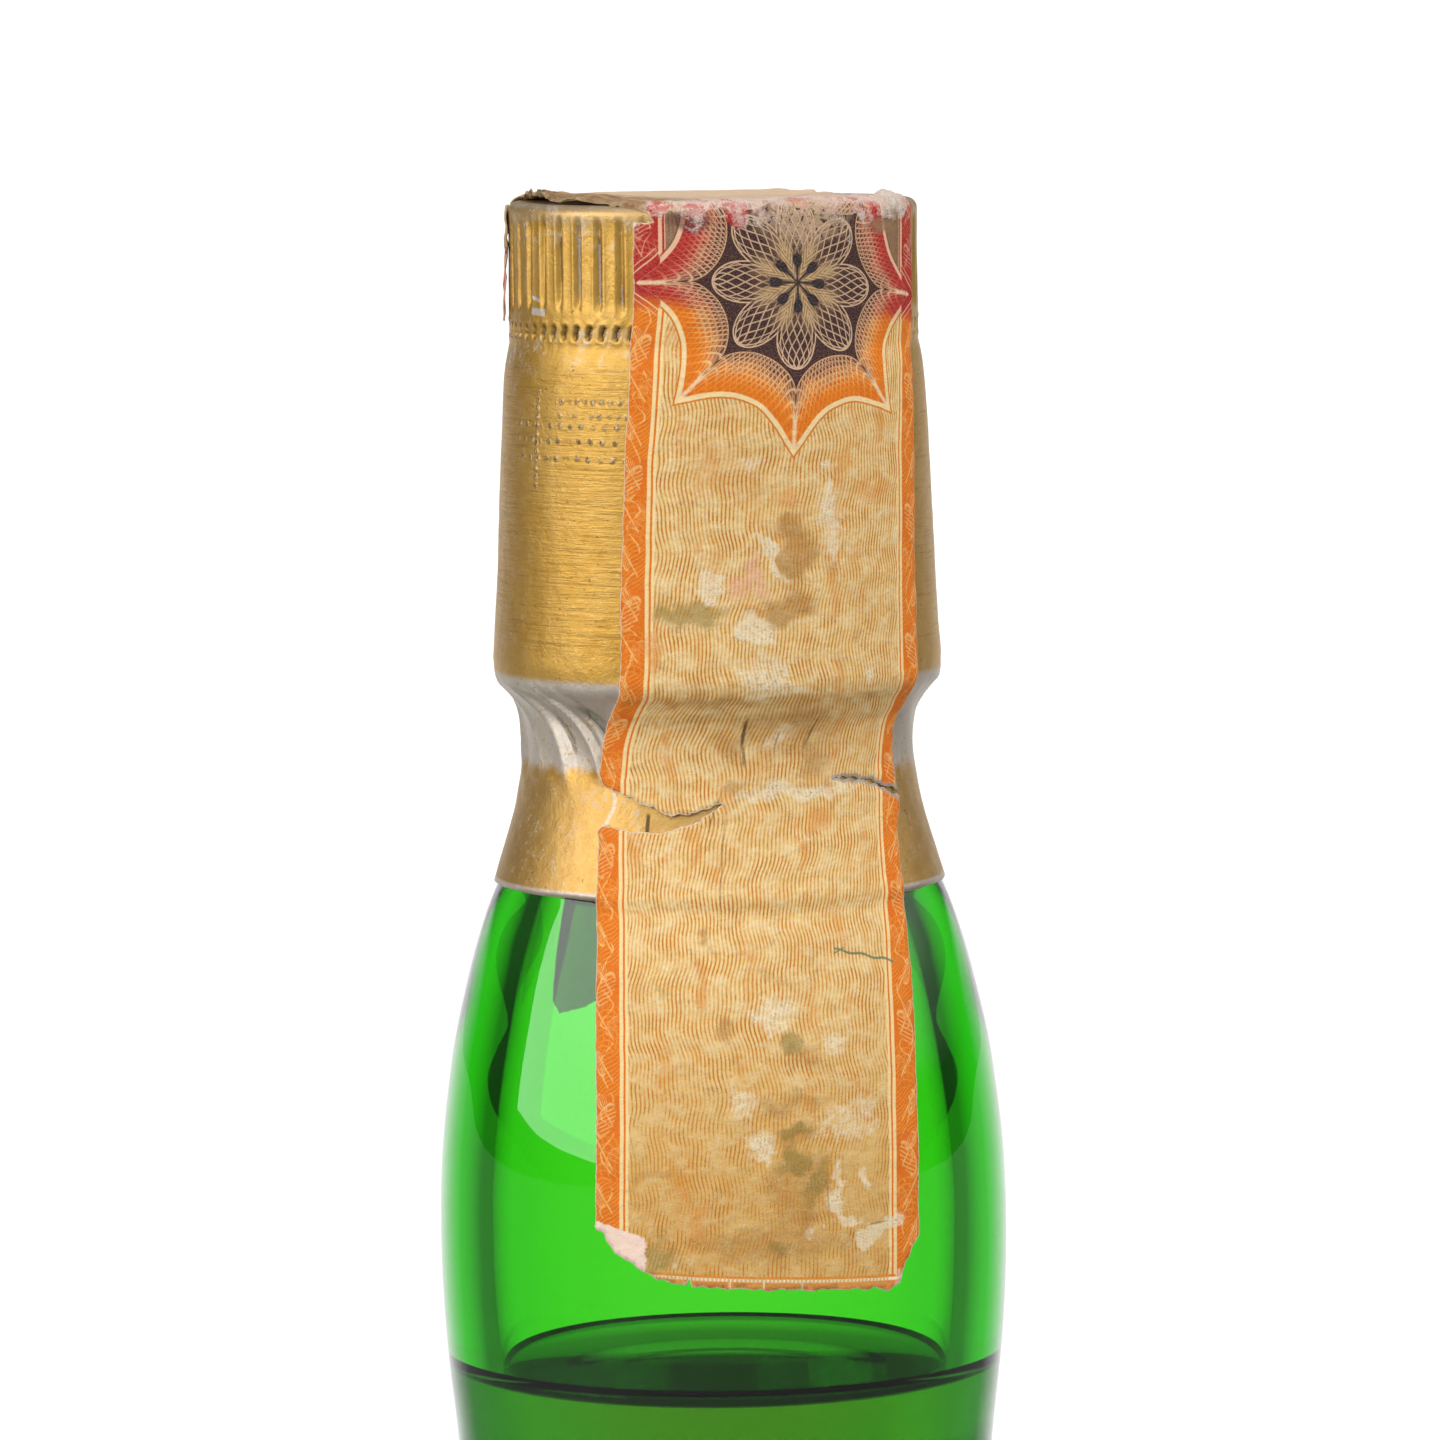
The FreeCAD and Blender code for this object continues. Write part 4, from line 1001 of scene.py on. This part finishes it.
    # double line and the band of the border across the lower end
    lowline = t0 - (2.52 - s0 * 0.048)
    col = mix(e_less(lowline, 0.06, 0.05) * e_step(lowline, -0.12, 0.05) * e_less(a_s, 10.3, 0.1), col, ORANGE)
    col = mix(e_less(lowline, -0.14, 0.05), col, srgb(250, 226, 186))
    ticks = e_less(e_abs(s0 + 2.55), 0.09, 0.06) + e_less(e_abs(s0 - 2.66), 0.09, 0.06) + e_less(e_abs(s0 + 0.1), 0.07, 0.05)
    col = mix(e_less(lowline, -0.36, 0.06) * (1.0 - e_clamp(ticks)) * (0.75 + nc * 0.3), col, ORANGE)

    # eight-fold star frame with a lined field
    x1, y1 = s - SC, t - TC
    x = x1 + y1 * 0.035
    y = y1 + x1 * 0.0595 + x1 * x1 * 0.0041 + 0.10
    rho = e_sqrt(x * x + y * y)
    phi = e_atan2(x, -y)
    am = e_mod(phi + math.pi / 8, math.pi / 4) - math.pi / 8          # from the nearest spike
    ad = e_abs(am) * (180 / math.pi)
    mm = e_max(1.0 - ad / 22.5, 0.0)
    star_r = 7.95 - e_sqrt(e_max(1.0 - mm * mm, 0.0)) * 2.15
    frame_r = e_pow(mm, 2.3) * 3.1 + 9.3
    slope = e_pow(mm, 1.3) * 18.1 / e_max(rho, 1.0)
    dF = (frame_r - rho) / e_sqrt(slope * slope + 1.0)
    in_frame = e_step(dF, 0.0, 0.05)
    slope_s = mm / e_max(e_sqrt(e_max(1.0 - mm * mm, 0.02)), 0.2) * 5.5 / e_max(rho, 1.0)
    dS = (rho - star_r) / e_sqrt(slope_s * slope_s + 1.0)             # outside the dark star
    span = e_clamp(dS / e_max(dS + dF - 0.45, 0.4))
    # net of arches between the star and the frame
    ua = am * (180 / math.pi)
    ga = e_ping(span * 2.6 + ua * 0.25, 0.66)
    gb = e_ping(span * 2.6 - ua * 0.25, 0.66)
    gc = e_ping(dS * 1.0, 0.42)
    mesh_l = e_max(e_less(ga, 0.085, 0.07), e_less(gb, 0.07, 0.07) * 0.75)
    mesh_l = e_max(mesh_l, e_less(gc, 0.05, 0.06) * e_less(span, 0.75, 0.2) * 0.6)
    shade = e_less(span + (nd - 0.5) * 0.8, 0.42, 0.50)
    field = mix(shade * 0.95, warm, mix(red_mix, srgb(92, 46, 30), MAROON))
    strength = e_less(span, 0.70, 0.5) * 0.55 + 0.36
    mesh_col = mix(shade, mix(e_less(span, 0.72, 0.3), mix(red_mix, srgb(246, 160, 40), srgb(216, 100, 76)), mix(red_mix, srgb(250, 204, 128), srgb(232, 160, 130))), srgb(224, 178, 138))
    field = mix(mesh_l * strength, field, mesh_col)
    ray = e_less(e_abs(am) * rho + (nc - 0.5) * 0.3, 0.14, 0.16) * e_step(span, 0.4, 0.2) * e_step(nc, 0.34, 0.2)
    field = mix(ray * 0.8, field, srgb(248, 222, 180))
    glow_ = e_less(e_abs(span - 0.46 + (nd - 0.5) * 0.3), 0.12, 0.2) * e_clamp(nc * 3.0 - 1.2)
    field = mix(glow_ * 0.45, field, srgb(240, 196, 140))
    edge_line = e_less(e_abs(dS), 0.06, 0.06)
    field = mix(edge_line * 0.9, field, srgb(228, 178, 128))

    # dark star with the eight-petalled rosette of looped lines
    px, py = rho * e_cos(am), e_abs(rho * e_sin(am))
    spy = rho * e_sin(am)
    ex, ey = (px - 3.9) / 2.32, spy / 1.50
    prof = e_sqrt(e_max(1.0 - ex * ex, 0.003)) * (ex * 0.16 + 0.94)
    u = ey / prof
    inside_p = e_less(e_abs(u), 1.0, 0.06) * e_less(e_abs(ex), 0.995, 0.01)
    la = e_ping(u * 1.0 + ex * 0.85 + u * u * u * 0.25, 0.47)
    lb = e_ping(u * 1.0 - ex * 0.85 + u * u * u * 0.25, 0.47)
    lw = 0.030 / e_max(prof, 0.35)
    net = e_max(e_less(la - lw, 0.0, 0.045), e_less(lb - lw, 0.0, 0.045)) * inside_p
    rosette = net * (0.55 + nc * 0.7) * (0.15 + e_step(ex, -0.62, 0.4) * 0.85)
    for A, B, w in ((2.32, 1.50, 0.045), (2.20, 1.24, 0.030)):
        qx, qy = (px - 3.9) / A, py / B
        q = e_sqrt(qx * qx + qy * qy + 1e-6)
        g = e_sqrt(qx * qx / (A * A) + qy * qy / (B * B)) / q
        rosette = e_max(rosette, e_less(e_abs(q - 1.0) / g, w, 0.05) * e_step(rho, 2.2, 0.6))
    spoke = 0.45 + e_less(e_ping(spy * 1.0 + px * 0.10, 0.20), 0.055, 0.05) * 0.75
    between = e_step(ad + (nc - 0.5) * 9.0, 10.0, 7.0)
    heart = e_less(rho + (nc - 0.5) * 1.6, 3.1, 1.4) * e_step(rho, 0.25, 0.2) * spoke * (0.12 + between * 0.88)
    ddx, ddy = (px - 1.62) / 0.52, py / (0.36 - (px - 1.62) * -0.12)
    drop = e_less(e_sqrt(ddx * ddx + ddy * ddy), 1.0, 0.2)
    stem = e_less(py, 0.055, 0.05) * e_less(rho, 1.3, 0.3)
    star = mix(rosette * 0.9, mix(nc, MAROON, DARK), srgb(234, 194, 156))
    star = mix(e_clamp(heart * (0.40 + nc * 0.8)), star, srgb(208, 172, 124))
    star = mix(e_clamp(drop + stem), star, srgb(44, 36, 42))
    star_full = mix(e_less(dS, 0.0, 0.05), field, star)
    # the frame's own pale line, inside a thin coloured one
    pale_frame = e_less(dF, 0.33, 0.06)
    star_full = mix(pale_frame, star_full, mix(red_mix, srgb(242, 214, 158), srgb(232, 186, 152)))
    # beyond the border's line only the field colour and a few thin lines run on to the spikes
    out_side = e_step(a_s, 10.3, 0.1)
    star_full = mix(out_side * pale_frame, star_full, warm)
    thin = e_less(e_abs(dF - 0.12), 0.06, 0.05) + e_less(e_abs(dF + 0.34), 0.05, 0.05) + e_less(e_abs(dF + 0.75), 0.04, 0.05) * 0.8
    near = e_less(rho, 13.4, 0.1) * e_step(t0, z_to_t(278.0), 0.1)
    rim = e_less(e_abs(dF + 0.075), 0.062, 0.04) * e_less(a_s, 10.3, 0.1)
    col = mix(rim * near, col, mix(red_mix, srgb(214, 120, 24), srgb(168, 60, 44)))
    # dark ground outside the frame near the top, instead of the lined panel
    upper = e_step(t0, TC + 0.6, 0.3) * (1.0 - in_frame) * e_less(a_s, 9.9, 0.06) * e_less(t0, T_FOLD + TOP_LEN, 2.0)
    col = mix(upper * 0.85, col, mix(nc, srgb(92, 66, 52), srgb(138, 104, 84)))
    spread = out_side * e_less(e_abs(y), 1.9, 0.3) * (1.0 - in_frame)
    col = mix(spread * 0.9, col, warm)
    col = mix(e_clamp(thin) * out_side * e_less(e_abs(y), 2.4, 0.3) * 0.8, col, srgb(244, 204, 160))
    col = mix(in_frame * near, col, star_full)

    # stains and scrapes, and painted shade along the folds: their places are attributes of the mesh, their ragged edges
    # come from noise
    def ragged(v, k=0.9, soft=0.75, low=0.30):
        return e_clamp((v + (nc - 0.5) * k + (nd - 0.5) * 0.7 - low) * (1.0 / soft))

    brown_a, olive_a, orange_a = separate(attribute("stain", True))
    pale_a, pink_a, crease_shade_a = separate(attribute("scuffs_and_crease_shade", True))
    lined = 1.0 - line * 0.35
    low_ochre = e_less(t0 + (nd - 0.5) * 6.0, 17.0, 14.0)
    col = mix(low_ochre * (1.0 - line) * 0.7 * e_less(a_s, 9.7, 0.1), col, srgb(206, 160, 74))
    col = mix(ragged(orange_a, 0.9, 0.6, 0.15) * 0.58, col, srgb(216, 136, 48))
    col = mix(ragged(brown_a, 0.9, 0.7, 0.12) * 0.66 * lined, col, mix(nd, srgb(148, 98, 34), srgb(190, 134, 62)))
    col = mix(ragged(olive_a, 0.9, 0.6, 0.15) * 0.70 * lined, col, mix(nd, srgb(120, 98, 40), srgb(158, 140, 66)))
    rough_k = e_clamp(0.66 + (fine - 0.5) * 1.6 + (nc - 0.5) * 0.8)
    pale_m = ragged(pale_a, 1.1, 0.5) * rough_k
    col = mix(pale_m * 0.92, col, mix(nd, srgb(232, 218, 182), srgb(250, 238, 210)))
    pink_m = ragged(pink_a, 1.3, 0.5)
    col = mix(pink_m * rough_k * 0.75, col, PINK)
    # painted shade: darker along the creases
    col = mix(ragged(crease_shade_a, 0.3) * 0.5, col, srgb(98, 74, 38))
    # painted shade: dark lines along more creases
    creases = None
    for sc, tc, rs, rt, turn, k in ((-2.05, 42.1, 0.15, 1.45, 7, 0.95), (-1.75, 40.4, 0.11, 1.0, 12, 0.7), (3.0, 42.0, 0.13, 1.4, -12, 0.6), (0.5, 41.2, 0.08, 0.9, 0, 0.55),
                                    (-2.9, 32.5, 0.08, 4.3, -3, 0.42), (-3.5, 36.2, 0.09, 1.6, -16, 0.5), (4.65, 8.0, 0.08, 1.6, 4, 0.45), (8.6, 5.95, 1.0, 0.08, 8, 0.55)):
        c, sn = math.cos(math.radians(turn)), math.sin(math.radians(turn))
        bend_ = (nd - 0.5) * 0.35
        bx = ((s0 + bend_ - sc) * c + (t0 - tc) * sn) / rs
        by = ((t0 + bend_ - tc) * c - (s0 - sc) * sn) / rt
        one = e_clamp((1.2 - e_sqrt(bx * bx + by * by)) * 1.6) * k
        creases = one if creases is None else e_max(creases, one)
    col = mix(creases * e_clamp(0.45 + nc), col, srgb(92, 66, 34))
    speck_n = tex_noise(flat, 4.4, 2.0, 0.75)
    specks = e_step(speck_n + (nd - 0.5) * 0.5, 0.64, 0.06) * e_clamp(pale_a * 1.1 + brown_a * 0.35 + 0.06)
    col = mix(specks * 0.6, col, srgb(112, 88, 62))
    # the scratch of blue-green ink
    sa, ta, sb2, tb = 5.3, 25.85, 10.5, 24.6
    f = e_clamp((s0 - sa) / (sb2 - sa))
    ink = e_less(e_abs(t0 - (f * (tb - ta) + ta) + e_sin(s0 * 3.1) * 0.07), 0.09, 0.07) * e_step(s0, sa, 0.1) * e_less(s0, sb2, 0.1)
    ink = e_max(ink, e_less(e_abs(t0 - 25.55 - (s0 - 5.3) * 0.45), 0.07, 0.06) * e_step(s0, 5.25, 0.1) * e_less(s0, 6.1, 0.1))
    col = mix(ink * 0.85, col, INK)

    # upper left: the printed layer is turned over and torn, the red print shows in pieces
    def place(sc, tc, rs, rt, soft=0.3):
        bx, by = (s0 + (nd - 0.5) * 1.6 - sc) / rs, (t0 + (ne - 0.5) * 1.6 - tc) / rt
        return e_less(e_sqrt(bx * bx + by * by), 1.0, soft)

    col = mix(place(-8.3, 79.5, 1.5, 0.6, 0.7) * (0.35 + nc * 0.7), col, srgb(82, 34, 38))
    col = mix(place(-9.4, 80.5, 1.2, 0.4) * 0.8, col, srgb(206, 172, 124))
    col = mix(place(-5.0, 80.0, 0.8, 0.9) * 0.9, col, srgb(184, 32, 34))
    # torn edges: the paper's white core shows
    edge = attribute("edge")
    raw = e_less(edge + (fine - 0.5) * 0.14 + (nc - 0.5) * 0.22, 0.07, 0.06)
    col = mix(raw * 0.85, col, srgb(240, 218, 192))
    corner = e_less(t0 + s0 * 0.293 + (nc - 0.5) * 0.5, 2.85, 0.12) * e_less(s0 + (nc - 0.5) * 0.6, -8.6, 0.15)
    col = mix(corner, col, mix(nc, srgb(240, 204, 184), srgb(250, 226, 208)))
    tear_grey = e_less(edge + (nc - 0.5) * 0.4, 0.22, 0.15) * e_less(e_abs(t0 - T_TEAR - 2.0), 2.2, 0.6) * e_step(s0, 2.0, 0.5)
    col = mix(tear_grey * 0.75, col, mix(fine, srgb(110, 102, 96), srgb(206, 200, 190)))
    # worn fold along the top edge: fluffed fibres, pinkish white, with scraps of red
    fold = e_less(e_abs(t0 - T_FOLD - 0.5 + (nd - 0.5) * 3.4), 1.0, 0.9)
    up = e_clamp((t0 - (T_FOLD - 4.8)) / 4.4)
    fluff = e_clamp(fold * 0.8 + e_step(nc * 0.55 + up * 0.50 + (ne - 0.5) * 1.1, 0.74, 0.14)) * e_less(t0, T_FOLD + 14.0, 3.0)
    fluff = fluff * e_step(t0, T_FOLD - 5.0, 1.2) * (0.35 + e_step(nd, 0.40, 0.12) * 0.65)
    fl_col = mix(fine, srgb(230, 194, 178), srgb(255, 240, 232))
    col = mix(fluff * e_clamp(0.25 + fine * 1.1), col, fl_col)
    red_rag = e_step(ne, 0.54, 0.05) * e_less(e_abs(t0 - T_FOLD - 0.3), 1.3, 0.6)
    col = mix(red_rag * 0.65 * e_step(nc, 0.42, 0.1), col, srgb(196, 62, 54))
    # right top corner, rubbed through, and the worn middle of the rosette's top
    col = mix(place(9.3, 80.6, 2.2, 1.0, 0.6) * rough_k, col, srgb(232, 220, 204))
    col = mix(place(7.6, 78.9, 1.7, 0.6, 0.5) * 0.8, col, srgb(150, 116, 84))
    worn = place(0.2, 79.6, 3.2, 1.6, 0.8) * e_step(nc, 0.44, 0.1)
    col = mix(worn * 0.7, col, srgb(214, 180, 146))
    # the left part of the top is old and brown, and so is its far half
    left_top = e_less(s0 + (nd - 0.5) * 4.0, -4.5, 2.5)
    pale_top = e_step(t0 + (nd - 0.5) * 3.0, T_FOLD + 0.6, 1.5) * (1.0 - left_top) * e_less(t0, T_FOLD + TOP_LEN + 2.0, 2.0)
    col = mix(pale_top * e_clamp(0.55 + nc * 0.8), col, mix(fine, srgb(222, 186, 172), srgb(252, 236, 228)))
    farther = e_step(t0 + (nd - 0.5) * 6.0, T_FOLD + 10.0, 9.0)
    col = mix(pale_top * farther * 0.7, col, mix(nd, srgb(176, 140, 92), srgb(228, 202, 156)))
    col = mix(pale_top * e_step(ne, 0.60, 0.05) * 0.6 * (1.0 - farther * 0.85), col, srgb(200, 74, 64))
    bare = e_max(e_step(t0 + (na - 0.5) * 5.0, T_FOLD + 8.0, 2.0) * left_top, e_step(-s0, 11.6, 0.5) * e_step(t0, T_FOLD - 0.8, 0.3))
    bare = bare * e_less(t0, T_FOLD + TOP_LEN + 2.0, 2.0)
    bare_col = mix(e_clamp(nd * 3.0 - 1.0), srgb(128, 88, 56), srgb(204, 172, 122))
    bare_col = mix(e_clamp(ne * 4.0 - 2.2), bare_col, srgb(232, 208, 172))
    col = mix(bare * 0.92, col, bare_col)
    # fibres and general dirt
    col = mix(e_clamp(fine * 1.6 - 0.72) * 0.30, col, srgb(250, 234, 204))
    col = mix(e_clamp(nc * 2.0 - 1.16) * 0.28, col, srgb(170, 120, 66))
    # back of the paper and its glue side: plain grey-cream
    col = mix(side, col, srgb(196, 176, 140))
    put(col, b.inputs["Base Color"])
    b.inputs["Roughness"].default_value = 0.82
    b.inputs["Specular IOR Level"].default_value = 0.12
    height = nc * 0.45 + fine * 0.25 + nd * 1.6 + fluff * fine * 1.6 + raw * 0.5 + rub * nc * 0.6
    put(bump(height, 0.00012, 0.9), b.inputs["Normal"])
    return m


strip.data.materials.append(strip_material())

# ------------------------------------------------------------------ what stands for what
for piece, node, slot in ((glass, "bottle", "green_glass"), (whisky, "whisky", "whisky"), (closure, "closure", "gold_aluminium"),
                          (strip, "tax_strip", "printed_paper")):
    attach(piece, "root")
    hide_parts(node)

# ------------------------------------------------------------------ floor, light, camera
me = bpy.data.meshes.new("floor")
L = 6.0
me.from_pydata([(-L, -L, 0), (L, -L, 0), (L, L, 0), (-L, L, 0)], [], [(0, 1, 2, 3)])
floor = bpy.data.objects.new("floor", me)
bpy.context.scene.collection.objects.link(floor)
m, b, out_ = new_mat("floor_white")
b.inputs["Base Color"].default_value = (0.3, 0.3, 0.3, 1)
b.inputs["Roughness"].default_value = 0.9
b.inputs["Emission Color"].default_value = (1, 1, 1, 1)
fx, fy, fz = separate(obj_coord())
far = e_sqrt(fx * fx + fy * fy)
back_ = e_clamp((fy / (far + 0.001) - 0.70) / 0.22) * e_clamp((far - 0.30) / 0.35)
flp = m.node_tree.nodes.new("ShaderNodeLightPath")
seen = E(flp.outputs["Is Camera Ray"])
put(seen * 0.88 + (1.0 - seen) * (0.015 + back_ * 0.84), b.inputs["Emission Strength"])
me.materials.append(m)

scene = bpy.context.scene
world = bpy.data.worlds.new("studio")
scene.world = world
world.use_nodes = True
E.tree = world.node_tree
bg = world.node_tree.nodes["Background"]
wdir = world.node_tree.nodes.new("ShaderNodeTexCoord")
wx, wy, wz = separate(E(wdir.outputs["Generated"]))
below = e_less(wz, 0.055, 0.05) * e_clamp((wy - 0.70) / 0.22)
high = e_clamp((wz - 0.06) / 0.22)
right = e_pow(e_max(wx * 0.92 + wy * -0.20 + wz * 0.34, 0.0), 3.0) * 1.45 * high
over = e_max(wz, 0.0) * 0.30
front = e_pow(e_max(wy * -0.80 + wz * 0.60, 0.0), 2.0) * 1.45 * high + e_clamp(wy * -0.5 + 0.3) * 0.10
glow = e_max(right + over + front + 0.05, below * 0.92)
lp = world.node_tree.nodes.new("ShaderNodeLightPath")
cam_ray = E(lp.outputs["Is Camera Ray"])
put(e_max(glow, cam_ray * 1.1), bg.inputs[1])
bg.inputs[0].default_value = (1, 1, 1, 1)
scene.view_settings.view_transform = "Standard"
scene.view_settings.look = "None"


def panel_light(name, x0, y0, z0, wide, high, aim, power):
    """Rectangular softbox at a point, turned to face another one."""
    data = bpy.data.lights.new(name, "AREA")
    data.shape = "RECTANGLE"
    data.size, data.size_y, data.energy = wide, high, power
    o = bpy.data.objects.new(name, data)
    scene.collection.objects.link(o)
    o.location = (x0, y0, z0)
    o.rotation_euler = (Vector(aim) - Vector((x0, y0, z0))).to_track_quat("-Z", "Y").to_euler()
    o.visible_camera = False
    return o


panel_light("softbox_left", -0.80, -0.305, 0.52, 0.73, 0.52, (0.0, -0.305, 0.52), 4.2)

pitch, D0, ZC, roll = math.radians(5.4), 634.0, 260.94, math.radians(0.62)
cam_data = bpy.data.cameras.new("camera")
cam_data.lens, cam_data.sensor_width = 215.0, 36.0
cam_data.clip_start, cam_data.clip_end = 0.05, 30.0
cam = bpy.data.objects.new("camera", cam_data)
scene.collection.objects.link(cam)
cam.location = (0.155 * MM, -D0 * math.cos(pitch) * MM, (ZC + D0 * math.sin(pitch)) * MM)
from mathutils import Matrix
cam.matrix_world = Matrix.Translation(cam.location) @ Matrix.Rotation(math.pi / 2 - pitch, 4, "X") @ Matrix.Rotation(-roll, 4, "Z")
scene.camera = cam

scene.cycles.max_bounces = 24
scene.cycles.transmission_bounces = 24
scene.cycles.glossy_bounces = 8
scene.cycles.diffuse_bounces = 4
